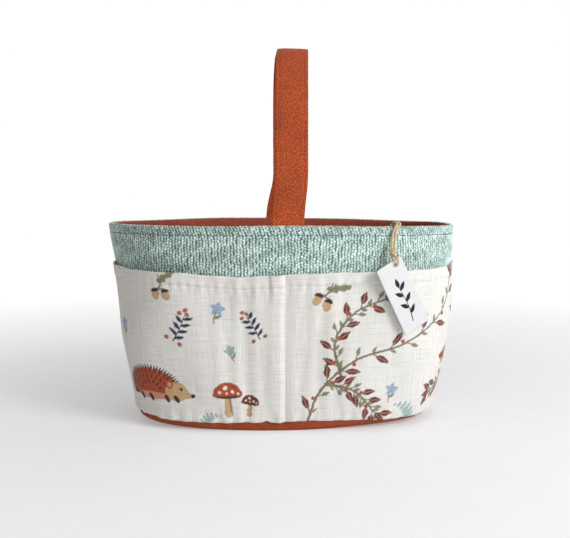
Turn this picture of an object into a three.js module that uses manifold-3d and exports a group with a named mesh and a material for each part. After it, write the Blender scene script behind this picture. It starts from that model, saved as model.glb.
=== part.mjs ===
// Fabric bucket organizer: an oval, flared caddy with a woven band, printed outside pockets,
// a suede base, a suede strap handle and a card tag on twine.
// Millimetres, +Z up, the side with the tag facing -Y, the origin at the middle of the underside.
import * as THREE from 'three';
import { mergeVertices } from 'three/addons/utils/BufferGeometryUtils.js';
import Module from 'manifold-3d';

// Body: the plan is an oval that grows from the base seam to the rim
const RIM_WIDTH = 300;
const RIM_DEPTH = 180;
const BASE_WIDTH = 252;
const BASE_DEPTH = 148;
const BODY_HEIGHT = 167;
const BASE_TURN_UP = 7;
const RIM_SQUARENESS = 2.1;
const BASE_SQUARENESS = 3.3;

// Plies of cloth, foam and board
const OUTER_PLY = 1.0;
const FOAM_PLY = 3.0;
const LINING_PLY = 0.8;
const POCKET_PLY = 1.2;
const BASE_PLY = 1.2;
const BASE_BOARD = 3.0;
const FLOOR_PLY = 0.8;
const PLY_GAP = 0.3;

// Pockets: two on each side of the body, open at the top
const POCKET_DROP = 37;
const LEFT_POCKET_GAPE = 10;
const RIGHT_POCKET_GAPE = 8;
const POCKET_BELLY = 0.8;

// Strap handle: a folded suede cover round a webbing core, sewn into the rim at both ends
const STRAP_WIDTH = 25.4;
const STRAP_SKIN = 0.7;
const STRAP_CORE = 1.0;
const HANDLE_RISE = 146;
const HANDLE_LEG = 50;
const HANDLE_SQUARENESS = 3;
const FRONT_LEAN = 3;
const BACK_LEAN = 6.8;
const LEAN_TURN = 52;
const TAB_DEPTH = 40;
const TAB_SHOW = 1;
const FOLD_GAP = 0.5;
const SLOT_REACH = 0.24;

// Sewing thread
const THREAD = 0.6;
const RIM_STITCH_DROP = 7;
const HEM_STITCH_DROP = 9;
const STRAP_STITCH_INSET = 2.5;

// Card tag and its twine
const TAG_LENGTH = 59;
const TAG_WIDTH = 25;
const TAG_THICKNESS = 0.8;
const TAG_CORNER = 1.4;
const TAG_HOLE_ROOM = 0.7;
const TAG_HOLE_DROP = 4.5;
const TAG_HOLE_ASIDE = 5.5;
const TAG_TILT = THREE.MathUtils.degToRad(27.5);
const TAG_TURN = THREE.MathUtils.degToRad(-56);
const TWINE = 2;
const KNOT_RADIUS = 2.4;
const KNOT_HEIGHT = 5.2;
const TACK_WIDTH = 3;
const TACK_BAR = 0.8;
const TACK_DROP = 13.3;

// Facets
const HALF_STEPS = 32;
const WALL_LEVELS = 6;
const TAB_STEPS = 4;
const ARCH_STEPS = 22;
const ROUND_END = [80, 60, 30, 0].map(THREE.MathUtils.degToRad);
const EDGE_STEPS = 3;
const CORNER_STEPS = 6;
const TWINE_SIDES = 8;
const TWINE_STEP = 2;
const KNOT_STEPS = 6;

// Sizes that follow from the ones above
const STRAP_THICKNESS = 2 * (STRAP_SKIN + PLY_GAP) + STRAP_CORE;
const WALL_CAVITY = Math.max(FOAM_PLY, STRAP_THICKNESS);
const CAVITY_OUT = -OUTER_PLY - PLY_GAP;
const LINING_OUT = CAVITY_OUT - WALL_CAVITY - PLY_GAP;
const WALL_FOOT = BASE_TURN_UP + PLY_GAP;
const BOARD_Z = BASE_PLY + PLY_GAP;
const FLOOR_Z = BOARD_Z + BASE_BOARD + PLY_GAP;
const LINING_FOOT = FLOOR_Z + FLOOR_PLY + PLY_GAP;
const POCKET_MOUTH_Z = BODY_HEIGHT - POCKET_DROP;
const TAG_HOLE = TWINE + 2 * TAG_HOLE_ROOM;
const FOLD_Z = BODY_HEIGHT + TAB_SHOW + FOLD_GAP + STRAP_WIDTH / 2;
const HANDLE_TOP = BODY_HEIGHT + HANDLE_RISE;
const LEG_Y = RIM_DEPTH / 2 + PLY_GAP / 2 + CAVITY_OUT - STRAP_THICKNESS / 2;

// Finishes
const FINISH = {
  band: { color: 0xa9d3cb, roughness: 0.95 },
  pocket: { color: 0xe9e4da, roughness: 0.95 },
  suede: { color: 0xb04a2c, roughness: 0.9 },
  lining: { color: 0xa14d33, roughness: 0.92 },
  foam: { color: 0xf2efe8, roughness: 1.0 },
  board: { color: 0x8d7f6c, roughness: 0.9 },
  webbing: { color: 0xcabfa9, roughness: 0.95 },
  pale_thread: { color: 0xdfe6df, roughness: 0.8 },
  rust_thread: { color: 0x8a3a22, roughness: 0.8 },
  teal_thread: { color: 0x6f9a92, roughness: 0.8 },
  twine: { color: 0xc2a678, roughness: 0.95 },
  card: { color: 0xf4f2ec, roughness: 0.7 },
};

const { lerp, clamp } = THREE.MathUtils;
const wasm = await Module();
wasm.setup();

function signedPower(value, power) {
  return Math.sign(value) * Math.abs(value) ** power;
}

function spread(from, to, steps) {
  return Array.from({ length: steps + 1 }, (_, i) => lerp(from, to, i / steps));
}

function piece(name, geometry, finish) {
  geometry.computeVertexNormals();
  const material = new THREE.MeshStandardMaterial({ metalness: 0, ...FINISH[finish] });
  const mesh = new THREE.Mesh(geometry, material);
  mesh.name = name;
  return mesh;
}

function solidFrom(points, faces) {
  const geometry = new THREE.BufferGeometry().setFromPoints(points);
  geometry.setIndex(faces);
  return geometry;
}

/** A closed solid between two sheets of points, stations running anticlockwise and levels upwards. */
function sheetSolid(outside, inside, ring = false) {
  const stations = outside.length;
  const levels = outside[0].length;
  const out = (i, j) => (i % stations) * levels + j;
  const inn = (i, j) => stations * levels + out(i, j);
  const faces = [];
  const quad = (p, q, r, s) => faces.push(p, q, r, p, r, s);
  const top = levels - 1;
  const last = ring ? stations : stations - 1;
  for (let i = 0; i < last; i++) {
    for (let j = 0; j < top; j++) {
      quad(out(i, j), out(i + 1, j), out(i + 1, j + 1), out(i, j + 1));
      quad(inn(i, j), inn(i, j + 1), inn(i + 1, j + 1), inn(i + 1, j));
    }
    quad(out(i, 0), inn(i, 0), inn(i + 1, 0), out(i + 1, 0));
    quad(out(i, top), out(i + 1, top), inn(i + 1, top), inn(i, top));
  }
  for (let j = 0; j < top && !ring; j++) {
    quad(out(0, j), out(0, j + 1), inn(0, j + 1), inn(0, j));
    quad(out(last, j), inn(last, j), inn(last, j + 1), out(last, j + 1));
  }
  return solidFrom([...outside.flat(), ...inside.flat()], faces);
}

/** A closed solid through a stack of loops, with a fan of triangles closing the first and the last. */
function stackSolid(loops) {
  const sides = loops[0].length;
  const at = (k, i) => k * sides + (i % sides);
  const points = loops.flat();
  const faces = [];
  for (let k = 0; k + 1 < loops.length; k++) {
    for (let i = 0; i < sides; i++) {
      faces.push(at(k, i), at(k, i + 1), at(k + 1, i + 1));
      faces.push(at(k, i), at(k + 1, i + 1), at(k + 1, i));
    }
  }
  const middle = (loop) => loop.reduce((sum, p) => sum.add(p), new THREE.Vector3()).divideScalar(sides);
  const first = points.push(middle(loops[0])) - 1;
  const final = points.push(middle(loops.at(-1))) - 1;
  for (let i = 0; i < sides; i++) {
    faces.push(first, at(0, i + 1), at(0, i));
    faces.push(final, at(loops.length - 1, i), at(loops.length - 1, i + 1));
  }
  return solidFrom(points, faces);
}

function toManifold(geometry) {
  const bare = geometry.clone();
  bare.deleteAttribute('normal');
  bare.deleteAttribute('uv');
  const merged = mergeVertices(bare);
  const vertProperties = new Float32Array(merged.attributes.position.array);
  const triVerts = new Uint32Array(merged.index.array);
  return new wasm.Manifold(new wasm.Mesh({ numProp: 3, vertProperties, triVerts }));
}

function cut(geometry, cutter) {
  const { vertProperties, triVerts } = toManifold(geometry).subtract(toManifold(cutter)).getMesh();
  const result = new THREE.BufferGeometry();
  result.setAttribute('position', new THREE.BufferAttribute(new Float32Array(vertProperties), 3));
  result.setIndex(new THREE.BufferAttribute(new Uint32Array(triVerts), 1));
  return result;
}

// The wall's outside face

/** Half width, half depth and squareness of the wall's plan at a height. */
function planAt(z) {
  const share = clamp((z - BASE_TURN_UP) / (BODY_HEIGHT - BASE_TURN_UP), 0, 1);
  return {
    a: lerp(BASE_WIDTH, RIM_WIDTH, share) / 2,
    b: lerp(BASE_DEPTH, RIM_DEPTH, share) / 2,
    n: lerp(BASE_SQUARENESS, RIM_SQUARENESS, share),
  };
}

/** The point at angle t on the unit outline |u|^n + |v|^n = 1. */
function onOutline(t, n) {
  const reach = (Math.abs(Math.cos(t)) ** n + Math.abs(Math.sin(t)) ** n) ** (-1 / n);
  return { u: reach * Math.cos(t), v: reach * Math.sin(t) };
}

/** The level direction that faces out of the plan at a point (u, v) of its unit outline. */
function facing(u, v, { a, b, n }) {
  return new THREE.Vector3(signedPower(u, n - 1) / a, signedPower(v, n - 1) / b, 0).normalize();
}

/** A point at angle t round the wall and height z, moved out from the outside face. */
function wallPoint(t, z, out = 0) {
  const plan = planAt(z);
  const { u, v } = onOutline(t, plan.n);
  return new THREE.Vector3(plan.a * u, plan.b * v, z).addScaledVector(facing(u, v, plan), out);
}

/** A point on the front of the wall, at a distance x from its middle. */
function frontPoint(x, z, out) {
  const plan = planAt(z);
  const u = x / plan.a;
  const v = -((1 - Math.abs(u) ** plan.n) ** (1 / plan.n));
  return new THREE.Vector3(x, plan.b * v, z).addScaledVector(facing(u, v, plan), out);
}

// Angles of the front half, from one side seam to the other, and of the whole way round
const FRONT = spread(-Math.PI, 0, HALF_STEPS);
const AROUND = spread(-Math.PI, Math.PI, 2 * HALF_STEPS).slice(0, -1);

/** How far the pocket cloth stands off the wall: most in the middle of each mouth. */
function pocketOut(t, z) {
  const gape = t < -Math.PI / 2 ? LEFT_POCKET_GAPE : RIGHT_POCKET_GAPE;
  const across = Math.sin(2 * t) ** 2;
  const up = clamp((z - WALL_FOOT) / (POCKET_MOUTH_Z - WALL_FOOT), 0, 1);
  return PLY_GAP + gape * across * up ** POCKET_BELLY;
}

/** A ply of the front half wall between two heights; out(t, z) is its inside face. */
function halfPly(thickness, out, foot, head) {
  const levels = spread(foot, head, WALL_LEVELS);
  const face = (extra) => FRONT.map((t) => levels.map((z) => wallPoint(t, z, out(t, z) + extra)));
  return sheetSolid(face(thickness), face(0));
}

/** The woven outer ply, with its top edge turned in over the foam. */
function outerWall() {
  const levels = spread(WALL_FOOT, BODY_HEIGHT, WALL_LEVELS);
  const lip = CAVITY_OUT - WALL_CAVITY;
  const outside = FRONT.map((t) => [
    ...levels.map((z) => wallPoint(t, z)),
    wallPoint(t, BODY_HEIGHT, lip),
  ]);
  const inside = FRONT.map((t) => [
    ...levels.map((z) => wallPoint(t, Math.min(z, BODY_HEIGHT - OUTER_PLY), -OUTER_PLY)),
    wallPoint(t, BODY_HEIGHT - OUTER_PLY, lip),
  ]);
  return sheetSolid(outside, inside);
}

/** The end of the strap inside the rim, or the slot for it when given room to spare. */
function strapTab(room, reach, head) {
  const foot = BODY_HEIGHT - TAB_DEPTH - room;
  const across = spread(-STRAP_WIDTH / 2 - room, STRAP_WIDTH / 2 + room, TAB_STEPS);
  const levels = [foot, BODY_HEIGHT, head];
  const face = (out) => across.map((x) => levels.map((z) => frontPoint(x, z, out)));
  return sheetSolid(face(CAVITY_OUT + reach), face(CAVITY_OUT - STRAP_THICKNESS - reach));
}

/** A row of stitches along the front half, lying on the face at out(t, z). */
function stitchRow(z, out) {
  const levels = [z - THREAD / 2, z + THREAD / 2];
  const face = (extra) => FRONT.map((t) => levels.map((level) => wallPoint(t, level, out(t, level) + extra)));
  return sheetSolid(face(PLY_GAP + THREAD), face(PLY_GAP));
}

/** The row of stitches down the middle of the front that parts its two pockets, up to the hem stitches. */
function dividerStitch() {
  const levels = spread(WALL_FOOT, POCKET_MOUTH_Z - HEM_STITCH_DROP - THREAD / 2 - PLY_GAP, WALL_LEVELS);
  const onPocket = PLY_GAP + POCKET_PLY + PLY_GAP;
  const edges = [-THREAD / 2, THREAD / 2];
  const face = (extra) => edges.map((x) => levels.map((z) => frontPoint(x, z, onPocket + extra)));
  return sheetSolid(face(THREAD), face(0));
}

/** One half of the sewn body; the back is the front turned half round. */
function halfBody(side) {
  const half = new THREE.Group();
  const slot = strapTab(PLY_GAP, SLOT_REACH, BODY_HEIGHT + TAB_SHOW);
  const foam = halfPly(FOAM_PLY, () => CAVITY_OUT - FOAM_PLY, WALL_FOOT, BODY_HEIGHT - OUTER_PLY - PLY_GAP);
  const lining = halfPly(LINING_PLY, () => LINING_OUT - LINING_PLY, LINING_FOOT, BODY_HEIGHT);
  const pocket = halfPly(POCKET_PLY, pocketOut, WALL_FOOT, POCKET_MOUTH_Z);
  const onPocket = (t, z) => pocketOut(t, z) + POCKET_PLY;
  const hemStitch = stitchRow(POCKET_MOUTH_Z - HEM_STITCH_DROP, onPocket);
  const rimStitch = stitchRow(BODY_HEIGHT - RIM_STITCH_DROP, () => 0);
  half.add(
    piece(`outer_wall_${side}`, cut(outerWall(), slot), 'band'),
    piece(`foam_wall_${side}`, cut(foam, slot), 'foam'),
    piece(`lining_wall_${side}`, lining, 'lining'),
    piece(`pocket_panel_${side}`, pocket, 'pocket'),
    piece(`pocket_hem_stitch_${side}`, hemStitch, 'pale_thread'),
    piece(`pocket_divider_stitch_${side}`, dividerStitch(), 'pale_thread'),
    piece(`handle_tab_${side}`, strapTab(0, 0, BODY_HEIGHT + TAB_SHOW), 'suede'),
    piece(`rim_stitch_${side}`, rimStitch, 'teal_thread'),
  );
  half.children.forEach((mesh) => mesh.position.setY(-PLY_GAP / 2));
  half.rotation.z = side === 'front' ? 0 : Math.PI;
  return half;
}

// Base

function ovalLoop(z, out) {
  return AROUND.map((t) => wallPoint(t, BASE_TURN_UP, out).setZ(z));
}

/** The suede base: a flat sole whose edge turns up to the base seam. */
function baseCover() {
  const turns = spread(0, Math.PI / 2, EDGE_STEPS);
  const edge = (radius) => turns.map((angle) => ovalLoop(
    BASE_TURN_UP - radius * Math.cos(angle),
    radius * Math.sin(angle) - BASE_TURN_UP,
  ));
  return stackSolid([...edge(BASE_TURN_UP), ...edge(BASE_TURN_UP - BASE_PLY).reverse()]);
}

function plate(foot, thickness, out) {
  return stackSolid([ovalLoop(foot, out), ovalLoop(foot + thickness, out)]);
}

function base() {
  const group = new THREE.Group();
  group.add(
    piece('base_cover', baseCover(), 'suede'),
    piece('base_board', plate(BOARD_Z, BASE_BOARD, -BASE_TURN_UP), 'board'),
    piece('floor_lining', plate(FLOOR_Z, FLOOR_PLY, LINING_OUT), 'lining'),
  );
  return group;
}

// Handle

/** Stations along the strap's middle line: place, half width and the way its outside faces. */
function strapStations() {
  const radius = STRAP_WIDTH / 2;
  const legTop = FOLD_Z + HANDLE_LEG;
  const rise = HANDLE_TOP - STRAP_THICKNESS / 2 - legTop;
  const leg = ROUND_END.map((angle) => ({
    y: -LEG_Y,
    z: FOLD_Z - radius * Math.sin(angle),
    half: radius * Math.cos(angle),
  }));
  const arch = spread(Math.PI, 0, ARCH_STEPS).map((t) => {
    const { u, v } = onOutline(t, HANDLE_SQUARENESS);
    return { y: LEG_Y * u, z: legTop + rise * v, half: radius };
  });
  const backLeg = leg.map((station) => ({ ...station, y: LEG_Y })).reverse();
  const line = [...leg, ...arch, ...backLeg];
  return line.map((station, i) => {
    const before = line[Math.max(i - 1, 0)];
    const after = line[Math.min(i + 1, line.length - 1)];
    const along = new THREE.Vector2(after.y - before.y, after.z - before.z).normalize();
    const lean = lerp(FRONT_LEAN, BACK_LEAN, clamp((station.y + LEG_Y) / LEAN_TURN, 0, 1));
    const x = lean * clamp((station.z - FOLD_Z) / HANDLE_LEG, 0, 1);
    return { ...station, x, outward: new THREE.Vector3(0, -along.y, along.x) };
  });
}

/** The four corners of a flat section of the strap, between two distances from its middle line. */
function strapCorners(station, left, right, inner, outer) {
  const { x: middle, y, z, outward } = station;
  const corner = (x, out) => new THREE.Vector3(middle + x, y, z).addScaledVector(outward, out);
  return [corner(left, outer), corner(right, outer), corner(right, inner), corner(left, inner)];
}

function handle() {
  const group = new THREE.Group();
  const stations = strapStations();
  const shell = (shrink) => stations.map((s) => strapCorners(
    s, shrink - s.half, s.half - shrink, shrink - STRAP_THICKNESS / 2, STRAP_THICKNESS / 2 - shrink,
  ));
  const byCorner = (loops) => [0, 1, 2, 3].map((corner) => loops.map((loop) => loop[corner]));
  const inset = STRAP_SKIN + PLY_GAP;
  const cored = stations.slice(2, -2).map((s) => strapCorners(
    s, inset - s.half, s.half - inset, -STRAP_CORE / 2, STRAP_CORE / 2,
  ));
  const onStrap = STRAP_THICKNESS / 2 + PLY_GAP;
  const row = (x) => stations.slice(3, -3).map((s) => strapCorners(
    s, x - THREAD / 2, x + THREAD / 2, onStrap, onStrap + THREAD,
  ));
  const stitch = STRAP_WIDTH / 2 - STRAP_STITCH_INSET;
  group.add(
    piece('handle_cover', sheetSolid(byCorner(shell(0)), byCorner(shell(STRAP_SKIN)), true), 'suede'),
    piece('handle_core', stackSolid(cored), 'webbing'),
    piece('handle_stitch_left', stackSolid(row(-stitch)), 'rust_thread'),
    piece('handle_stitch_right', stackSolid(row(stitch)), 'rust_thread'),
  );
  return group;
}

// Tag: its own frame has x along the rim, y into the body and z up, from the rim's outside edge

const vectors = (rows) => rows.map((row) => new THREE.Vector3(...row));
const TAG_RIM = wallPoint(TAG_TURN, BODY_HEIGHT);
const TAG_OUT = wallPoint(TAG_TURN, BODY_HEIGHT, 1).sub(TAG_RIM);
const LINING_AT_TACK = wallPoint(TAG_TURN, BODY_HEIGHT - TACK_DROP, LINING_OUT - LINING_PLY);
const TACK_IN = TAG_RIM.clone().sub(LINING_AT_TACK).dot(TAG_OUT) + PLY_GAP + TWINE / 2;

// The twine's route over the rim, round the thread tack inside and back, chosen by hand
const TWINE_ANCHOR = vectors([
  [-1.3, -1.3, 0.15], [-1.3, -0.76, 2.0], [-1.3, 0.7, 3.46], [-1.3, 2.7, 4.0],
  [-1.35, 4.7, 3.46], [-1.5, 6.16, 2.0], [-1.8, 6.7, 0.0], [-2.5, TACK_IN, -3.0],
  [-3.5, TACK_IN, -6.2], [-4.0, TACK_IN, -9.2], [-2.9, TACK_IN, -12.1], [0.0, TACK_IN, -TACK_DROP],
  [2.9, TACK_IN, -12.1], [4.0, TACK_IN, -9.2], [3.5, TACK_IN, -6.2], [2.5, TACK_IN, -3.0],
  [1.8, 6.7, 0.0], [1.5, 6.16, 2.0], [1.35, 4.7, 3.46], [1.3, 2.7, 4.0],
  [1.3, 0.7, 3.46], [1.3, -0.76, 2.0], [1.3, -1.3, 0.15],
]);
// The two strands from the rim down to the knot
const TWINE_LEFT = vectors([
  [-1.3, -1.3, -0.15], [-1.4, -1.6, -2.2], [-2.1, -2.5, -5.5],
  [-3.6, -4.2, -9.5], [-5.2, -6.1, -13.5], [-6.1, -7.5, -16.9],
]);
const TWINE_RIGHT = vectors([
  [1.3, -1.3, -0.15], [1.2, -1.6, -2.2], [0.5, -2.5, -5.5],
  [-1.0, -4.2, -9.5], [-2.7, -6.1, -13.5], [-3.7, -7.5, -16.9],
]);
// The loop from the knot through the hole in the tag
const TWINE_LOOP = vectors([
  [-4.9, -8.9, -23.0], [-4.8, -11.6, -23.7], [-4.4, -13.5, -25.6], [-4.0, -13.6, -28.3],
  [-3.75, -12.1, -30.1], [-3.7, -10.2, -30.5], [-3.75, -8.3, -30.1], [-4.0, -6.7, -28.6],
  [-4.4, -5.9, -26.2], [-4.8, -6.1, -24.3], [-4.9, -7.0, -23.0],
]);
const KNOT_AT = new THREE.Vector3(-4.9, -7.9, -19.8);
const HOLE_AT = new THREE.Vector3(-3.7, -10.2, -30.5);
const TACK_AT = new THREE.Vector3(0, TACK_IN, -TACK_DROP);

function twineTube(route) {
  const section = new THREE.Shape().absarc(0, 0, TWINE / 2, 0, 2 * Math.PI);
  const extrudePath = new THREE.CatmullRomCurve3(route);
  const steps = Math.round(extrudePath.getLength() / TWINE_STEP);
  const curveSegments = TWINE_SIDES / 2;
  return new THREE.ExtrudeGeometry(section, { steps, extrudePath, curveSegments, bevelEnabled: false });
}

function knot() {
  const half = KNOT_HEIGHT / 2;
  const turns = spread(-Math.PI / 2, Math.PI / 2, KNOT_STEPS);
  const profile = turns.map((a) => new THREE.Vector2(KNOT_RADIUS * Math.cos(a), half * Math.sin(a)));
  profile[0].x = 0;
  profile.at(-1).x = 0;
  return new THREE.LatheGeometry(profile, TWINE_SIDES).rotateX(Math.PI / 2);
}

/** The card, drawn about its hole, with round corners. */
function card() {
  const left = -TAG_WIDTH / 2 - TAG_HOLE_ASIDE;
  const right = left + TAG_WIDTH;
  const top = TAG_HOLE_DROP;
  const foot = top - TAG_LENGTH;
  const r = TAG_CORNER;
  const outline = new THREE.Shape();
  outline.absarc(right - r, top - r, r, 0, Math.PI / 2);
  outline.absarc(left + r, top - r, r, Math.PI / 2, Math.PI);
  outline.absarc(left + r, foot + r, r, Math.PI, 1.5 * Math.PI);
  outline.absarc(right - r, foot + r, r, 1.5 * Math.PI, 2 * Math.PI);
  outline.closePath();
  outline.holes.push(new THREE.Path().absarc(0, 0, TAG_HOLE / 2, 0, 2 * Math.PI, true));
  const flat = new THREE.ExtrudeGeometry(outline, {
    depth: TAG_THICKNESS, bevelEnabled: false, curveSegments: CORNER_STEPS,
  });
  return flat.translate(0, 0, -TAG_THICKNESS / 2).rotateX(Math.PI / 2);
}

/** A bar of thread that bridges the twine and is sewn to the lining above and below it. */
function threadTack() {
  const foot = -TWINE / 2;
  const clear = TWINE / 2 + PLY_GAP;
  const outer = clear + TACK_BAR;
  const bridge = new THREE.Shape();
  bridge.moveTo(foot, -outer);
  bridge.lineTo(outer, -outer);
  bridge.lineTo(outer, outer);
  bridge.lineTo(foot, outer);
  bridge.lineTo(foot, clear);
  bridge.lineTo(clear, clear);
  bridge.lineTo(clear, -clear);
  bridge.lineTo(foot, -clear);
  bridge.closePath();
  const bar = new THREE.ExtrudeGeometry(bridge, { depth: TACK_WIDTH, bevelEnabled: false });
  return bar.translate(0, 0, -TACK_WIDTH / 2).rotateY(Math.PI / 2).rotateX(Math.PI / 2);
}

function tag() {
  const group = new THREE.Group();
  const swing = piece('hang_tag', card(), 'card');
  swing.position.copy(HOLE_AT);
  swing.rotation.y = -TAG_TILT;
  const bead = piece('twine_knot', knot(), 'twine');
  bead.position.copy(KNOT_AT);
  const tack = piece('tag_thread_tack', threadTack(), 'rust_thread');
  tack.position.copy(TACK_AT);
  group.add(
    piece('twine_anchor', twineTube(TWINE_ANCHOR), 'twine'),
    piece('twine_strand_left', twineTube(TWINE_LEFT), 'twine'),
    piece('twine_strand_right', twineTube(TWINE_RIGHT), 'twine'),
    piece('twine_loop', twineTube(TWINE_LOOP), 'twine'),
    bead,
    swing,
    tack,
  );
  group.position.copy(TAG_RIM).y -= PLY_GAP / 2;
  group.rotation.z = Math.atan2(TAG_OUT.y, TAG_OUT.x) + Math.PI / 2;
  return group;
}

const organizer = new THREE.Group();
organizer.add(base(), halfBody('front'), halfBody('back'), handle(), tag());

export default organizer;
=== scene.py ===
"""Fabric bucket organizer: its cloth, suede, thread, twine and card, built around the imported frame."""
import math

import bpy
import numpy as np
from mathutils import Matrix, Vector


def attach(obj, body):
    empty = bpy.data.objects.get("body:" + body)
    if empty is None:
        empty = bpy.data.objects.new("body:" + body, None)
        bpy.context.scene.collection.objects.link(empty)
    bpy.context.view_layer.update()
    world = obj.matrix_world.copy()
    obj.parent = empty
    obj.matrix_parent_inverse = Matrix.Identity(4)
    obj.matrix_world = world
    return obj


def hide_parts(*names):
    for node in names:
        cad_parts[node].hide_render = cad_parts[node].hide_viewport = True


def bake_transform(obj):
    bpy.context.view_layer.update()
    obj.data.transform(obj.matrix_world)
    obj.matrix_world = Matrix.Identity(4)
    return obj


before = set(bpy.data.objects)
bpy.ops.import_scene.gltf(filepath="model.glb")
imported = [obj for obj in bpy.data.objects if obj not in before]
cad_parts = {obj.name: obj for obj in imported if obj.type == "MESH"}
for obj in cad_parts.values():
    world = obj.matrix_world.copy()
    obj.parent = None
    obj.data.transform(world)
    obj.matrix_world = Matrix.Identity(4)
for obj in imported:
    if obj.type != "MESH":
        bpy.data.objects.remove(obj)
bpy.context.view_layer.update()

MM = 0.001
rng = np.random.default_rng(11)


def rgb(red, green, blue):
    """A colour written in screen values, as the linear one that shaders use."""
    values = np.array([red, green, blue]) / 255
    linear = np.where(values <= 0.04045, values / 12.92, ((values + 0.055) / 1.055) ** 2.4)
    return (*linear, 1.0)


# Camera, in m and degrees
CAMERA_AT = (-0.03185, -0.7325, 0.1983)
CAMERA_PITCH, CAMERA_YAW = -5.69, -2.63
SENSOR_WIDTH, LENS, CLIP_END = 36.0, 52.42, 50.0

# Body, in mm, with its outline and heights as in the part's source
RIM_A, RIM_B, RIM_N = 150.0, 90.0, 2.1
BASE_A, BASE_B, BASE_N = 126.0, 74.0, 3.3
RIM_Z = 167.0
SEAM_Z = 7.0
WALL_FOOT = 7.3
BAND_PLY = 1.15
FOAM_OUT, FOAM_IN, FOAM_TOP = -1.5, -4.1, 162.0
LINING_FACE, LINING_PLY = -4.6, 0.8
FLOOR_TOP, FLOOR_FOOT = 5.6, 4.85
FLOOR_WAVE, FLOOR_FILLET = 0.35, 2.2
CENTRE = 0.0005
BAND_GIRTH_Z, SHELL_GIRTH_Z = 150.0, 90.0

# Base, smaller and rounder where it stands
FOOT_A, FOOT_B, FOOT_N = 105.0, 72.0, 2.1
FOOT_N_SKEW = 0.4
FOOT_SHIFT = -6.0
FOOT_CURL = 0.8
SOLE_PLY, SOLE_LIP = 1.2, 4.0
LIP_OUT, LIP_IN = 0.1, 0.03
SOLE_GATHER, GATHERS = 0.25, 61
BOARD_FOOT, BOARD_TOP = 1.5, 4.5

# Slack of the soft wall; a wave is its height, its steps along and up, and its start
RIGHT_BELLY, BELLY_LOW = 6.5, 0.7
LEFT_BELLY, LEFT_BELLY_AT, LEFT_BELLY_SPREAD = 2.8, 0.4, 0.17
LEFT_RIM_OUT, LEFT_RIM_RUN = 1.7, (0.72, 0.95)
END_FALL = 1.5
WALL_WAVES = ((0.35, 5, 2, 1.1), (0.35, 9, 4, 0), (0.35, 14, -5, 0))
RIM_TILT, RIM_DIP = 0.8, 1.2
RIM_WAVES = ((0.3, 4, 0, 1), (0.2, 7, 0, 0))
LINING_FOLD, LINING_SEAM = 0.9, 1.2

# Woven band
RIBS, RIB_SAMPLES = 308, 4
ROW_PITCH, ROW_SAMPLES = 2.4, 4
CHANCE_ROWS = 97
WEAVE_FOOT = 100.0
WEAVE_DEPTH, WEAVE_LEVEL = 1.05, 0.8
DEEPEST = -1.0
RIB_WOBBLE = ((0.1, 0.31, 0.5, 0), (0.08, -0.9, 1.7, 0))
WEAVE_PATCHES = ((0.22, 0.21, 0.3, 0), (0.22, 0.093, -0.23, 1), (0.22, 0.37, -0.41, 0))
HEM_SLANT, HEM_SHADE = 0.15, 0.14
RIM_CREST = 0.6
ROLL_RUN = 2.4
LIP_DEPTH, LIP_AT_STRAP = 4.3, 1.15
LIP_FOOT, LIP_PLY = 163.6, 0.8
BAND_INSIDE = (162.5, 150.0, 120.0, 90.0, 60.0, 30.0, WALL_FOOT)
RIM_STITCH_Z = 160.0

# Pockets, x along the cloth from the divider; a hill is its height, middle and half width
POCKET_MOUTH_Z = 129.3
POCKET_FOOT_Z = 7.5
POCKET_PLY, POCKET_OFF = 1.2, 0.55
SIDE_SEAM = 0.004
POCKET_GIRTH_Z = 80.0
POCKET_COLUMNS, POCKET_ROWS, POCKET_BACK_ROWS = 620, 206, 26
LEFT_GAPE, RIGHT_GAPE = 8.5, 6.5
HEM_DROP, HEM_RISE = 9.5, 0.45
MOUTH_HILLS = ((-2.0, -34, 30), (1.9, 85, 60))
MOUTH_WAVES = ((0.25, 0.21, 0, 0),)
MOUTH_END_RISE = 5.0
LEFT_MOUTH_RISE, LEFT_MOUTH_RUN = 1.6, (55, 95)
LEFT_END_FROM, LEFT_END_SHORT, RIGHT_END_FROM = 105, 8, 70
FOOT_HILLS = ((1.4, -20, 3), (1.1, 35, 40))
FOOT_WAVES = ((0.25, 0.13, 0, 0), (0.15, 0.31, 0, 1))
LEFT_FOOT_RISE, LEFT_FOOT_RUN = 2.2, (88, 125)
PLEAT_ASIDE = 4.2
PLEAT_RISE, PLEAT_FLANK, PLEAT_RUN = 1.6, 4.2, 40.0
FLAP_RISE, FLAP_WIDTH, FLAP_EDGE = 1.1, 11.0, 1.5
SEAM_DEPTH, SEAM_PULL = 0.6, 0.4
FOLDS = ((0.5, 0.11, 0.045, 0), (0.35, 0.07, -0.06, 2))
PUCKERS = ((0.5, 0.55, 0, 0), (0.35, 0.23, 0, 1))
FOOT_TUCK, END_TUCK, END_TUCK_RUN = 0.7, 0.8, (95.0, 125.0)
INMOST = -0.75
PRINT_REPEAT, BACK_SHIFT = 340.0, 118.0

# Strap, in mm
STRAP_HALF, STRAP_THICK = 12.7, 3.0
STRAP_FOOT_Z = 140.0
LEG_Y, LEG_TOP_Z = 87.35, 231.2
HANDLE_TOP_Z, HANDLE_N = 313.0, 3.0
FRONT_LEAN, BACK_LEAN, LEAN_WAVE = 2.9, 6.8, 0.25
LEAN_TURN, LEAN_TOP_Z = 52.0, 211.0
STRAP_STITCH_IN = 2.6
GROOVE, GROOVE_HALF = 0.32, 0.7
STRAP_DISH, STRAP_FREE = 0.1, 25.0
STRAP_RIPPLES = ((0.22, 0.11, 0.09, 0),)

# Rows of thread: pitch, length and thickness of a stitch
RIM_THREAD = (3.4, 2.7, 0.75)
POCKET_THREAD = (3.0, 2.3, 0.5)
STRAP_THREAD = (3.1, 2.3, 0.5)

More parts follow.
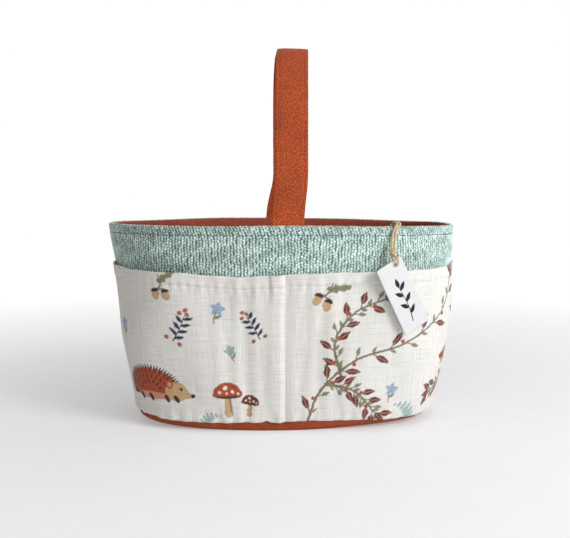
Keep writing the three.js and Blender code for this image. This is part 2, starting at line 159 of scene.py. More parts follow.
# Tag and twine, in the tag's frame: x along the rim, y into the body, z up from the rim's outside edge
TAG_ORIGIN = np.array([85.12, -75.87, 167.0])
TAG_TURN, TAG_TILT = math.radians(21.26), math.radians(27.5)
TAG_LENGTH, TAG_WIDTH, TAG_THICK, TAG_CORNER = 59.0, 25.0, 0.8, 1.4
TAG_HOLE, TAG_HOLE_DROP, TAG_HOLE_ASIDE = 3.4, 4.5, 5.5
TAG_FOOT = TAG_HOLE_DROP - TAG_LENGTH
CURL_ALONG, CURL_ACROSS = 0.9, 0.25
HOLE_AT = np.array([-3.7, -10.2, -30.5])
TACK_IN = 6.82
TACK_AT = np.array([0.0, TACK_IN, -13.3])
TACK_PITCH, TACK_OVER, TACK_LONG, TACK_THICK = 0.9, 1.05, 5.0, 0.8
TWINE, TWIST_PITCH, PLIES = 2.0, 7.5, 3
KNOT_AT = np.array([-4.9, -7.9, -19.8])
KNOT_WIDE, KNOT_DEEP, KNOT_TALL, KNOT_TILT = 2.5, 2.2, 4.0, 0.9
KNOT_TWINE = 0.95
RIM_SLIP, SLIP_RUN, RIM_HUG = 4.0, (-5.0, 2.0), 0.7
OVER_RIM = [
    (0.0, TACK_IN, -13.3), (2.9, TACK_IN, -12.1), (4.0, TACK_IN, -9.2), (3.5, TACK_IN, -6.2),
    (2.5, TACK_IN, -3.0), (1.8, 6.7, 0.0), (1.5, 6.16, 2.0), (1.35, 4.7, 3.46), (1.3, 2.7, 4.0),
    (1.3, 0.7, 3.46), (1.3, -0.76, 2.0),
]
RIGHT_STRAND = [
    (1.3, -1.3, 0.0), (1.2, -1.6, -2.2), (0.5, -2.5, -5.5), (-1.0, -4.2, -9.5), (-2.7, -6.1, -13.5),
    (-3.7, -7.5, -16.9), (-3.95, -7.95, -19.8), (-4.1, -7.9, -22.6),
]
LEFT_STRAND = [
    (-1.3, -1.3, 0.0), (-1.4, -1.6, -2.2), (-2.1, -2.5, -5.5), (-3.6, -4.2, -9.5), (-5.2, -6.1, -13.5),
    (-6.1, -7.5, -16.9), (-5.9, -7.95, -19.8),
]
TAG_LOOP = [
    (-4.9, -8.9, -23.0), (-4.8, -11.6, -23.7), (-4.4, -13.5, -25.6), (-4.0, -13.6, -28.3),
    (-3.75, -12.1, -30.1), (-3.7, -10.2, -30.5), (-3.75, -8.3, -30.1), (-4.0, -6.7, -28.6),
    (-4.4, -5.9, -26.2), (-4.8, -6.1, -24.3), (-4.9, -7.0, -23.0), (-4.9, -7.6, -21.6),
]

# Sprig on the tag, from the card's foot; a leaf is its place on the stem and its side
INK_PROUD = 0.03
SPRIG_STEM = ((-1.0, 7), (0.8, 21), (-0.4, 37))
SPRIG_LEAVES = ((5, 1), (9, -1), (13, 1), (17, -1), (21, 1), (23, 0))
STEM_HALF = (0.45, 0.2)
LEAF_LONG, LEAF_HALF, LEAF_LEAN = 8.5, 1.7, 48

# Colours, and plain stuffs as dark, light, grain per mm, roughness, bump in mm and the grain's stretch
WHITE = (1, 1, 1, 1)
# Weave colours by the weave's height: the yarn's own light and dark tones, and painted shade that darkens the
# deep gaps between ribs and rows
WEAVE_COLOURS_AND_GAP_SHADE = (
    (0.0, rgb(62, 88, 83)), (0.3, rgb(136, 165, 159)), (0.6, rgb(206, 229, 224)), (0.95, rgb(236, 249, 245)),
)
LINEN_COLOURS = ((0.26, rgb(190, 187, 181)), (0.5, rgb(234, 232, 228)), (0.74, rgb(244, 243, 240)))
LINING_COLOURS = ((0.3, rgb(128, 54, 34)), (0.7, rgb(176, 84, 56)))
BOARD_COLOURS = ((0.3, rgb(128, 114, 96)), (0.7, rgb(156, 142, 122)))
FLOOR_COLOURS = ((0.3, rgb(246, 248, 252)), (0.7, rgb(249, 251, 254)))
SUEDES = {
    "suede": ((0.43, rgb(112, 36, 10)), (0.57, rgb(208, 92, 39))),
    # The base's suede is the strap's suede made darker: painted shade for the low base under the pocket cloth
    "base_suede": ((0.43, rgb(100, 34, 12)), (0.57, rgb(190, 88, 44))),
}
SUEDE_SHEEN = rgb(226, 120, 64)
EVEN = (1, 1, 1)
THREAD_GRAIN = (2.0, 0.85, 0.1, (3, 0.5, 1))
STUFFS = {
    "jute_twine": (rgb(166, 138, 98), rgb(246, 230, 198), 1.6, 0.95, 0.4, (0.3, 2.2, 1)),
    "tag_paper": (rgb(214, 214, 216), rgb(224, 224, 226), 2.2, 0.75, 0.05, EVEN),
    "tag_ink": (rgb(12, 12, 14), rgb(26, 25, 28), 2.0, 0.8, 0.02, EVEN),
    "foam": (rgb(232, 229, 220), rgb(246, 243, 236), 1.4, 1.0, 0.4, EVEN),
    "pale_thread": (rgb(206, 204, 196), rgb(236, 234, 226), *THREAD_GRAIN),
    "rust_thread": (rgb(138, 56, 30), rgb(176, 80, 46), *THREAD_GRAIN),
    # The rim's thread: its dark colour is partly the thread's own and partly painted shade for the shadow
    # line along the rim's stitches
    "teal_thread": (rgb(66, 96, 92), rgb(104, 138, 132), *THREAD_GRAIN),
}

# Light, in m and W: name, place, size, power and colour of each lamp
LAMPS = (
    ("key", (0.95, -0.85, 0.75), 0.6, 14.8, (0.99, 0.995, 1.0)),
    ("fill", (-0.7, -1.0, 0.7), 1.0, 0.4, (1.0, 0.97, 0.93)),
)
LAMP_AIM = (0, 0, 0.1)
AMBIENT, AMBIENT_TINT = 0.34, (1.0, 0.955, 0.89, 1)
FLOOR_HALF = 6.0
SHADOW_FROM, SHADOW_TO, NEAR_GLOW = 0.12, 0.8, 0.3


def add(name, data):
    """A new object in the scene."""
    thing = bpy.data.objects.new(name, data)
    bpy.context.scene.collection.objects.link(thing)
    return thing


def camera_like_photo():
    """The camera at the photograph's place and angle."""
    data = bpy.data.cameras.new("camera")
    data.sensor_width = SENSOR_WIDTH
    data.lens = LENS
    data.clip_end = CLIP_END
    camera = add("camera", data)
    camera.location = CAMERA_AT
    camera.rotation_euler = (math.radians(90 + CAMERA_PITCH), 0.0, math.radians(CAMERA_YAW))
    bpy.context.scene.camera = camera


# Numbers and lines

def smooth(x, low, high):
    """0 below low, 1 above high, and a soft step between."""
    share = np.clip((x - low) / (high - low), 0, 1)
    return share * share * (3 - 2 * share)


def rise_fall(x, low, full, still, gone):
    """Soft steps from 0 at low to 1 at full, and from 1 at still to 0 at gone."""
    return smooth(x, low, full) * (1 - smooth(x, still, gone))


def hill(x, middle, width):
    return np.exp(-(((x - middle) / width) ** 2))


def hills(terms, x):
    return sum(height * hill(x, middle, width) for height, middle, width in terms)


def ripples(terms, x, z=0.0):
    return sum(height * np.sin(along * x + up * z + start) for height, along, up, start in terms)


def unit(vectors):
    return vectors / np.linalg.norm(vectors, axis=-1, keepdims=True)


def oval(t, n):
    """A round-cornered oval of half sides 1 at angle t: an ellipse where n is 2, squarer where it is more."""
    c, s = np.cos(t), np.sin(t)
    reach = (np.abs(c) ** n + np.abs(s) ** n) ** (-1 / n)
    return reach * c, reach * s


def run_along(line):
    """The length along a line from its first point to each point."""
    return np.concatenate([[0], np.cumsum(np.linalg.norm(np.diff(line, axis=0), axis=1))])


def read_at(at, run, rows):
    """Rows that belong to the lengths in run, read at other lengths."""
    return np.stack([np.interp(at, run, column) for column in rows.T], 1)


def curve_through(points, count):
    """A smooth line through points, evenly spaced."""
    points = np.asarray(points, float)
    padded = np.concatenate([[2 * points[0] - points[1]], points, [2 * points[-1] - points[-2]]])
    t = np.linspace(0, 1, 24, endpoint=False)[:, None]
    fine = []
    for k in range(len(points) - 1):
        a, b, c, d = padded[k:k + 4]
        fine.append(b + 0.5 * t * (c - a + t * (2 * a - 5 * b + 4 * c - d + t * (3 * (b - c) + d - a))))
    fine = np.concatenate([*fine, points[-1:]])
    run = run_along(fine)
    return read_at(np.linspace(0, run[-1], count), run, fine)


def frames_along(line, first_side):
    """Sideways and up vectors along a line that don't twist."""
    along = unit(np.gradient(line, axis=0))
    side = np.zeros_like(line)
    last = np.asarray(first_side, float)
    for k, direction in enumerate(along):
        last = unit(last - direction * (last @ direction))
        side[k] = last
    return side, np.cross(along, side)


def level_frames(line):
    """Sideways vectors as near to +X as a line allows, and up vectors."""
    along = unit(np.gradient(line, axis=0))
    side = unit(np.array([1.0, 0.0, 0.0]) - along * along[:, :1])
    return side, np.cross(along, side)


# Meshes

def new_mesh(name, points, face_sets, uv=None):
    """A smooth mesh from points in mm and arrays of faces, one array for each face size."""
    mesh = bpy.data.meshes.new(name)
    loops = np.concatenate([faces.ravel() for faces in face_sets])
    sizes = np.concatenate([np.full(len(faces), faces.shape[1]) for faces in face_sets])
    starts = np.cumsum(sizes) - sizes
    mesh.vertices.add(len(points))
    mesh.vertices.foreach_set("co", (points * MM).astype(np.float32).ravel())
    mesh.loops.add(len(loops))
    mesh.loops.foreach_set("vertex_index", loops.astype(np.int32))
    mesh.polygons.add(len(sizes))
    mesh.polygons.foreach_set("loop_start", starts.astype(np.int32))
    mesh.polygons.foreach_set("use_smooth", np.ones(len(sizes), bool))
    if uv is not None:
        mesh.uv_layers.new(name="cloth").data.foreach_set("uv", uv.astype(np.float32).ravel())
    mesh.update(calc_edges=True)
    mesh.validate()
    return mesh


def tube_faces(rings, sides):
    """Quads round a tube and its two end faces, for points counted ring by ring."""
    i, j = np.meshgrid(np.arange(rings - 1), np.arange(sides), indexing="ij")
    a, b = i * sides + j, i * sides + (j + 1) % sides
    around = np.arange(sides)
    ends = np.stack([around, (rings - 1) * sides + around[::-1]])
    return np.stack([a, a + sides, b + sides, b], -1).reshape(-1, 4), ends


def tube(name, points, uv):
    """A closed tube through points[i][j], round in j, with an end face at each end."""
    face_sets = tube_faces(*points.shape[:2])
    uv = uv.reshape(-1, 2)
    corner_uv = np.concatenate([uv[faces.ravel()] for faces in face_sets])
    return new_mesh(name, points.reshape(-1, 3), face_sets, corner_uv)


def ring(name, points, uv, ring_span=0.0):
    """A closed ring through points[i][j], round in i and in j; UVs go on by ring_span where i closes."""
    count_i, count_j = points.shape[:2]
    i, j = np.meshgrid(np.arange(count_i), np.arange(count_j), indexing="ij")
    corner_i = np.stack([i, i + 1, i + 1, i], -1)
    corner_j = np.stack([j, j, j + 1, j + 1], -1) % count_j
    quads = ((corner_i % count_i) * count_j + corner_j).reshape(-1, 4)
    corner_uv = uv[corner_i % count_i, corner_j]
    corner_uv[..., 0] += (corner_i >= count_i) * ring_span
    return new_mesh(name, points.reshape(-1, 3), [quads], corner_uv)


def ring_uv(points, girth, up):
    """UVs in mm, along a ring of cloth and up it."""
    along = girth * np.arange(len(points))[:, None] / len(points)
    return np.stack(np.broadcast_arrays(along, up), -1)


def disc(edge, rings):
    """Points on rings that shrink from an edge to the middle, as high as the edge."""
    return edge[:, None] * np.stack([rings, rings, np.ones_like(rings)], 1)


def paint_points(mesh, name, values):
    """A number or a colour kept on each point of a mesh."""
    kind, key = "FLOAT", "value"
    if values.ndim > 1:
        kind, key = "FLOAT_COLOR", "color"
        values = np.pad(values, ((0, 0), (0, 1)), constant_values=1)
    mesh.attributes.new(name, kind, "POINT").data.foreach_set(key, values.astype(np.float32).ravel())


def make(name, mesh, look, body="root", stands_for=()):
    """A piece of the part, on a body unless none is given."""
    piece = add(name, mesh)
    mesh.materials.append(look)
    if body:
        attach(piece, body)
    if stands_for:
        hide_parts(*stands_for)
    return piece


# The wall

def plan(z):
    """Half length, half width and squareness of the body at a height, and that height's share of the wall."""
    share = np.clip((z - SEAM_Z) / (RIM_Z - SEAM_Z), 0, 1)
    a = BASE_A + (RIM_A - BASE_A) * share
    b = BASE_B + (RIM_B - BASE_B) * share
    n = BASE_N + (RIM_N - BASE_N) * share
    return a, b, n, share


def slack(t, share):
    """How far the soft wall stands off its plan: a belly at each end, a wider left rim and shallow waves."""
    right = RIGHT_BELLY * np.sin(np.pi * share ** BELLY_LOW) * np.clip(np.cos(t), 0, 1) ** END_FALL
    left = LEFT_BELLY * hill(share, LEFT_BELLY_AT, LEFT_BELLY_SPREAD)
    left = (left + LEFT_RIM_OUT * smooth(share, *LEFT_RIM_RUN)) * np.clip(-np.cos(t), 0, 1) ** END_FALL
    return right + left + np.sin(np.pi * share) * ripples(WALL_WAVES, t, share)


def lift(t, share):
    """How far the rim's edge waves up and down; both ends dip, the right one more."""
    return share ** 2 * (ripples(RIM_WAVES, t) - RIM_TILT * np.cos(t) - RIM_DIP * np.cos(t) ** 2)


def wall(t, z, out):
    """Points at angle t round the body and height z, moved out from the wall's outside face."""
    t, z, out = np.broadcast_arrays(t, z, out)
    a, b, n, share = plan(z)
    u, v = oval(t, n)
    nx = np.sign(u) * np.abs(u) ** (n - 1) / a
    ny = np.sign(v) * np.abs(v) ** (n - 1) / b
    away = (out + slack(t, share)) / np.hypot(nx, ny)
    return np.stack([a * u + away * nx, b * v + away * ny, z + lift(t, share)], -1)


def outward(t, z):
    return unit(wall(t, z, 1.0) - wall(t, z, 0.0))


def even_angles(start, end, count, z):
    """Angles from start to end that are evenly spaced along the wall at height z, and that length."""
    fine = np.linspace(start, end, 6001)
    run = run_along(wall(fine, z, 0.0))
    return np.interp(np.linspace(0, run[-1], count), run, fine), run[-1]


def round_wall(count, z):
    """A column of angles evenly spaced all round the wall at height z, and the length round it."""
    t, girth = even_angles(-np.pi, np.pi, count + 1, z)
    return t[:-1, None], girth


# Looks

class Nodes:
    """Short ways to add nodes to the tree of a material or of the world."""

    def __init__(self, tree):
        self.tree = tree

    def link(self, value, socket):
        if isinstance(value, bpy.types.NodeSocket):
            self.tree.links.new(value, socket)
        else:
            socket.default_value = value

    def node(self, kind, output, inputs, **settings):
        """The output of a new node; inputs go by name or number."""
        made = self.tree.nodes.new("ShaderNode" + kind)
        for key, value in settings.items():
            setattr(made, key, value)
        for key, value in inputs.items():
            self.link(value, made.inputs[key])
        return made.outputs[output]

    def math(self, operation, a, b):
        return self.node("Math", 0, {0: a, 1: b}, operation=operation)

    def between(self, value, low, high):
        """A number from low to high as value goes from 0 to 1."""
        return self.math("ADD", self.math("MULTIPLY", value, high - low), low)

    def mix(self, share, a, b, blend="MIX"):
        return self.node("Mix", 2, {0: share, 6: a, 7: b}, data_type="RGBA", blend_type=blend)

    def seen(self):
        """1 for what the camera sees, straight or by way of gloss or glass, and 0 for light."""
        rays = self.tree.nodes.new("ShaderNodeLightPath").outputs
        seen = self.math("MAXIMUM", rays["Is Camera Ray"], rays["Is Glossy Ray"])
        return self.math("MAXIMUM", seen, rays["Is Transmission Ray"])


class Look(Nodes):
    """A material whose colour and bump are made of nodes."""

    def __init__(self, name, roughness, **fixed):
        self.made = bpy.data.materials.new(name)
        self.made.use_nodes = True
        super().__init__(self.made.node_tree)
        self.shader = self.tree.nodes["Principled BSDF"]
        for key, value in {"Roughness": roughness, **fixed}.items():
            self.shader.inputs[key.replace("_", " ")].default_value = value

    def uv(self):
        return self.node("TexCoord", "UV", {})

    def place(self):
        return self.node("TexCoord", "Object", {})

    def kept(self, name, output="Fac"):
        """What paint_points kept on the mesh."""
        return self.node("Attribute", output, {}, attribute_name=name)

    def noise(self, vector, scale, detail=2.0, rough=0.5):
        return self.node(
            "TexNoise", "Fac", {"Vector": vector, "Scale": scale, "Detail": detail, "Roughness": rough},
        )

    def drawn_noise(self, stretch, detail=2.0, rough=0.5, scale=1.0):
        """Noise on the UVs, finer or coarser along each of them."""
        vector = self.node("VectorMath", "Vector", {0: self.uv(), 1: stretch}, operation="MULTIPLY")
        return self.noise(vector, scale, detail, rough)

    def threads(self, warp, weft, rough):
        """Threads both ways of a plain cloth, as noise drawn out along each."""
        both = [self.drawn_noise(stretch, rough=rough) for stretch in (warp, weft)]
        return self.math("MULTIPLY", self.math("ADD", *both), 0.5)

    def ramp(self, value, *stops):
        """A colour that goes through stops, each a value and its colour."""
        made = self.tree.nodes.new("ShaderNodeValToRGB")
        elements = made.color_ramp.elements
        while len(elements) < len(stops):
            elements.new(0.5)
        for element, (at, colour) in zip(elements, stops):
            element.position = at
            element.color = colour
        self.link(value, made.inputs["Fac"])
        return made.outputs["Color"]

    def shaded(self, colour, value, low, high):
        """A colour made darker or lighter, from low to high times itself, as value goes from 0 to 1."""
        level = self.between(value, low, high)
        grey = self.node("CombineColor", "Color", {"Red": level, "Green": level, "Blue": level})
        return self.mix(1.0, colour, grey, "MULTIPLY")

    def bumped(self, height, distance, strength):
        """A bump whose distance is in mm."""
        inputs = {"Height": height, "Distance": distance * MM, "Strength": strength}
        self.link(self.node("Bump", "Normal", inputs), self.shader.inputs["Normal"])

    def coloured(self, colour):
        self.link(colour, self.shader.inputs["Base Color"])
        return self.made

    def finished(self, value, stops, shades, bump):
        """The material: a value coloured through stops, shades over that colour, and a bump."""
        colour = self.ramp(value, *stops)
        for shade in shades:
            colour = self.shaded(colour, *shade)
        self.bumped(*bump)
        return self.coloured(colour)


def band_look():
    look = Look("woven_band", 0.95, Sheen_Weight=0.25, Sheen_Roughness=0.4)
    fibre = look.drawn_noise((2.6, 1.5, 1), 3.0, 0.6)
    shades = ((look.kept("tone"), 0.7, 1.22), (fibre, 0.84, 1.14))
    # The colour follows the weave's height, so the gaps are darker: painted shade over the yarn's own tones
    return look.finished(look.kept("rise"), WEAVE_COLOURS_AND_GAP_SHADE, shades, (fibre, 0.5, 0.7))


def linen_look():
    """Pale linen, with ink that its threads and specks break up."""
    look = Look("printed_linen", 0.92, Sheen_Weight=0.08, Sheen_Roughness=0.5)
    uv = look.uv()
    threads = look.threads((1.8, 0.04, 1), (0.05, 1.6, 1), 0.6)
    speck = look.noise(uv, 1.1, 2.0, 0.7)
    cloth = look.ramp(threads, *LINEN_COLOURS)
    cloth = look.shaded(cloth, look.noise(uv, 0.03), 0.95, 1.03)
    cloth = look.shaded(cloth, speck, 0.86, 1.1)
    ink = look.shaded(look.kept("print", "Color"), threads, 0.45, 1.55)
    ink = look.shaded(ink, speck, 0.55, 1.4)
    look.bumped(look.math("ADD", threads, look.math("MULTIPLY", speck, 0.35)), 0.7, 0.6)
    cover = look.math("MULTIPLY", look.kept("ink"), look.between(speck, 1.35, 0.75))
    return look.coloured(look.mix(cover, cloth, ink))


def suede_look(name):
    """Fine grain, a brushed nap and cloudy wear."""
    look = Look(name, 0.88, Sheen_Weight=0.12, Sheen_Roughness=0.45, Sheen_Tint=SUEDE_SHEEN)
    uv = look.uv()
    grain = look.noise(uv, 0.8, 5.0, 0.9)
    shades = ((look.drawn_noise((0.22, 0.08, 1)), 0.84, 1.15), (look.noise(uv, 0.045), 0.72, 1.26))
    return look.finished(grain, SUEDES[name], shades, (grain, 0.5, 0.55))


def lining_look():
    look = Look("lining_cotton", 0.9, Sheen_Weight=0.1)
    threads = look.threads((1.6, 0.12, 1), (0.12, 1.6, 1), 0.5)
    cloud = look.noise(look.uv(), 0.04)
    return look.finished(threads, LINING_COLOURS, ((cloud, 0.9, 1.1),), (threads, 0.4, 0.5))


def plain_look(name):
    """A plain stuff of the table, with grain and faint clouds."""
    dark, light, scale, roughness, depth, stretch = STUFFS[name]
    look = Look(name, roughness)
    grain = look.drawn_noise(stretch, 3.0, 0.6, scale)
    cloud = look.noise(look.uv(), scale * 0.08)
    stops = ((0.3, dark), (0.7, light))
    return look.finished(grain, stops, ((cloud, 0.92, 1.08),), (grain, depth, 0.6))


def board_look():
    look = Look("base_board", 0.9)
    grain = look.noise(look.place(), 900.0, 3.0)
    return look.finished(grain, BOARD_COLOURS, (), (grain, 0.2, 0.4))


# Print on the pocket cloth: motifs as signed distances in mm, with complex numbers for points

RUST, DARK, MAROON = rgb(172, 76, 46), rgb(58, 34, 30), rgb(104, 46, 42)
SAGE, TWIG, TAN = rgb(132, 134, 104), rgb(128, 112, 84), rgb(200, 164, 122)
NAVY, SKY, AQUA = rgb(40, 48, 80), rgb(146, 178, 216), rgb(142, 184, 188)
BLACK, BLUSH, PALE = rgb(30, 26, 28), rgb(212, 148, 122), rgb(232, 224, 210)
INK_EDGE, INK_MARGIN = 0.6, 2.0


def ragged(x, jump, wave):
    """How far ink strays along the threads at a place across them."""
    return 0.22 * np.sin(jump * np.floor(x / 0.7)) + 0.12 * np.sin(wave * x)


class Print:
    """Paints motifs on the points of a cloth, laid flat as x along it and z up it."""

    def __init__(self, x, z):
        self.at = (x + ragged(z, 37.0, 9.7)) + 1j * (z + ragged(x, 41.0, 8.9))
        self.colour = np.zeros((len(x), 3))
        self.ink = np.zeros(len(x))

    def put(self, x, z, size=1.0, turn=0.0, flip=False):
        """Where the next motif goes, how large and how turned."""
        self.origin, self.size, self.flip = x + 1j * z, size, flip
        self.spin = size * np.exp(1j * math.radians(turn))

    def to(self, p):
        """Where a motif's own point is on the cloth."""
        return self.origin + self.spin * (-np.conj(p) if self.flip else p)

    def near(self, middle, reach):
        away = self.at - middle
        reach = reach + INK_MARGIN
        return np.flatnonzero((np.abs(away.real) < reach) & (np.abs(away.imag) < reach))

    def fill(self, pick, distance, colour):
        cover = np.clip(0.5 - distance / INK_EDGE, 0, 1)
        self.colour[pick] += (np.array(colour[:3]) - self.colour[pick]) * cover[:, None]
        self.ink[pick] += (1 - self.ink[pick]) * cover

    def spot(self, middle, across, up, colour, turn=0.0, only_above=False):
        """An ellipse, or only its upper half."""
        centre = self.to(middle)
        axis = self.to(middle + np.exp(1j * turn)) - centre
        pick = self.near(centre, max(across, up) * self.size)
        q = (self.at[pick] - centre) / axis
        distance = (np.hypot(q.real / across, q.imag / up) - 1) * min(across, up) * self.size
        if only_above:
            rise = self.to(middle + 1j) - centre
            above = ((self.at[pick] - centre) * np.conj(rise)).real / self.size
            distance = np.maximum(distance, -above)
        self.fill(pick, distance, colour)

    def stroke(self, a, b, start, end, colour):
        """A line from a to b whose half width goes from start to end."""
        a, b = self.to(a), self.to(b)
        pick = self.near((a + b) / 2, abs(b - a) / 2 + max(start, end) * self.size)
        p = self.at[pick] - a
        share = np.clip((p * np.conj(b - a)).real / abs(b - a) ** 2, 0, 1)
        self.fill(pick, np.abs(p - share * (b - a)) - (start + (end - start) * share) * self.size, colour)

    def line(self, points, start, end, colour):
        half = np.linspace(start, end, len(points))
        for k in range(len(points) - 1):
            self.stroke(points[k], points[k + 1], half[k], half[k + 1], colour)

    def leaf(self, base, tip, half, colour, vein=None):
        """A leaf with a slightly toothed edge."""
        a, b = self.to(base), self.to(tip)
        half = half * self.size
        pick = self.near((a + b) / 2, abs(b - a) / 2 + half)
        q = (self.at[pick] - a) / (b - a)
        inside = np.clip(q.real, 0, 1)
        edge = half * np.sin(np.pi * inside ** 0.8) * (1 + 0.12 * np.sin(40 * inside))
        distance = np.abs(q.imag) * abs(b - a) - edge
        self.fill(pick, np.where((q.real > 0) & (q.real < 1), distance, 1.0), colour)
        if vein:
            self.stroke(base + 0.12 * (tip - base), base + 0.85 * (tip - base), 0.3, 0.2, vein)


def quills(cloth, angles, start, end, thick, thin):
    """A ring of quills round the middle of the hedgehog's back."""
    for ray in np.exp(1j * np.radians(angles)):
        quill = complex(25 * ray.real, 19 * ray.imag)
        cloth.stroke(-5 + 9j + start * quill, -5 + 9j + end * quill, thick, thin, DARK)


def hedgehog(cloth):
    quills(cloth, np.linspace(8, 196, 34), 0.7, 1.14, 1.9, 0.3)
    cloth.spot(-5 + 9j, 24.5, 18.5, RUST, 0.0, True)
    cloth.spot(-5 + 9j, 24.0, 5.5, RUST)
    for start, count in ((0.35, 7), (0.6, 11), (0.84, 15)):
        quills(cloth, np.linspace(18, 172, count), start, start + 0.17, 0.75, 0.25)
    cloth.stroke(21 + 8j, 31 + 5.6j, 5.0, 1.5, TAN)
    for middle, across, up, colour in (
        (-4 + 4.5j, 17, 3.0, BLUSH), (18 + 9j, 9.5, 8.0, TAN), (12.5 + 15j, 3.4, 3.6, RUST),
        (12.8 + 15j, 1.9, 2.1, BLUSH), (32 + 6j, 1.9, 1.6, BLACK), (22.5 + 11.3j, 1.25, 1.35, BLACK),
    ):
        cloth.spot(middle, across, up, colour)
    for x in (-17, -6, 9, 17):
        cloth.stroke(x + 4j, x + 2 + 0.8j, 1.9, 1.3, DARK)


def toadstool(cloth, cap=RUST):
    cloth.stroke(0.4 + 0j, 0 + 13j, 3.0, 2.0, TAN)
    cloth.stroke(1.9 + 1j, 1.3 + 12j, 0.5, 0.4, TWIG)
    cloth.spot(0 + 12.6j, 9.6, 1.9, DARK)
    cloth.spot(0 + 12.4j, 10.6, 10.2, cap, 0.0, True)
    for middle, r in (
        (-5.6 + 15.4j, 1.2), (-1.4 + 18.6j, 1.5), (3.6 + 15.6j, 1.3), (7.4 + 14.4j, 0.9), (-0.6 + 14.6j, 0.8),
    ):
        cloth.spot(middle, r, r, PALE)


def acorns(cloth):
    cloth.line([0j, 3 + 6j, 2 + 12j], 0.8, 0.5, TWIG)
    for base, turn in ((-4 - 3j, -0.25), (4.5 - 5j, 0.3)):
        cloth.stroke(0j, base + 4j, 0.6, 0.6, TWIG)
        cloth.spot(base - 1.5j, 3.2, 4.6, TAN, turn)
        cloth.spot(base + 1.2j, 3.8, 3.0, DARK, turn, True)
    for k, lobe in enumerate(np.linspace(0, 1, 5)):
        across = 2.2 + 1.4 * math.sin(math.pi * (0.25 + 0.7 * lobe))
        cloth.spot(3 + 7j + lobe * (12 + 6j), across, 2.1, SAGE, 2.0 * (k % 2))
    cloth.stroke(2 + 6.5j, 14 + 12.5j, 0.4, 0.2, TWIG)


def fern(cloth, colour=SAGE):
    spine = [34 * s * np.exp(1j * (1.5 - 0.55 * s * s)) for s in np.linspace(0, 1, 15)]
    cloth.line(spine, 0.65, 0.2, colour)
    for k in range(2, 15, 2):
        away = spine[k] - spine[k - 1]
        reach = 8.5 * math.sin(math.pi * (0.16 + 0.84 * k / 15))
        for side in (1j, -1j):
            tip = spine[k] + reach * away / abs(away) * np.exp(side * 1.05)
            cloth.leaf(spine[k], tip, 0.8 + 0.07 * reach, colour)


def berry_sprig(cloth):
    stem = [complex(1.5 * math.sin(2.2 * s), 24 * s) for s in np.linspace(0, 1, 9)]
    cloth.line(stem, 0.55, 0.3, NAVY)
    for k in range(1, 8):
        side = 1 if k % 2 else -1
        cloth.leaf(stem[k], stem[k] + complex(side * 7.5, 4.2), 1.5, NAVY)
    for middle in (-3.2 + 25j, 2.6 + 26j, 0.2 + 29j, -6 + 1j, 6 - 0.5j):
        cloth.spot(middle, 1.8, 1.8, RUST)
        cloth.spot(middle + 0.5 + 0.6j, 0.5, 0.5, BLUSH)


def star_flower(cloth, colour=SKY):
    for k in range(5):
        cloth.leaf(0j, 6.2 * np.exp(1j * (0.3 + 2 * math.pi * k / 5)), 1.9, colour)
    cloth.spot(0j, 1.4, 1.4, TAN)
    cloth.line([-0.6 - 2j, -1.6 - 7j, -0.6 - 12j], 0.5, 0.35, SAGE)
    cloth.leaf(-1.4 - 8j, 4 - 4.5j, 1.2, SAGE)


def moth(cloth):
    for side in (1, -1):
        cloth.leaf(side * 0.5 + 0j, side * 12 + 8j, 4.2, RUST, DARK)
        cloth.leaf(side * 0.5 - 1j, side * 8.5 - 7.5j, 3.4, TAN, DARK)
        cloth.spot(side * 8.2 + 5.6j, 1.1, 1.1, BLACK)
        cloth.stroke(side * 0.3 + 5j, side * 3.4 + 11j, 0.35, 0.2, BLACK)
    cloth.stroke(0 + 5j, 0 - 7j, 1.2, 0.5, BLACK)


def cane(cloth, route, leaf=13.0):
    """A long branch with dark leaves, small pale ones and berries on both sides."""
    points = curve_through([(p.real, p.imag) for p in route], 40) @ [1, 1j]
    cloth.line(points, 1.1, 0.45, TWIG)
    for k in range(3, 40, 3):
        along = points[k] - points[k - 1]
        along /= abs(along)
        aside = along * np.exp(1j * (0.75 if (k // 3) % 2 else -0.8))
        twig = points[k] + 4.0 * aside
        cloth.stroke(points[k], twig, 0.5, 0.4, TWIG)
        if (k // 3) % 3 == 2:
            cloth.leaf(twig, twig + 0.6 * leaf * aside, 1.5, SAGE)
            cloth.spot(points[k] - 3.2 * aside, 1.6, 1.6, RUST)
        else:
            cloth.leaf(twig, twig + leaf * aside, 2.6, MAROON, BLUSH)
            cloth.leaf(points[k], points[k] + 0.55 * leaf * along * along / aside, 1.2, SAGE)
    cloth.leaf(points[-1], points[-1] + leaf * along, 2.6, MAROON, BLUSH)


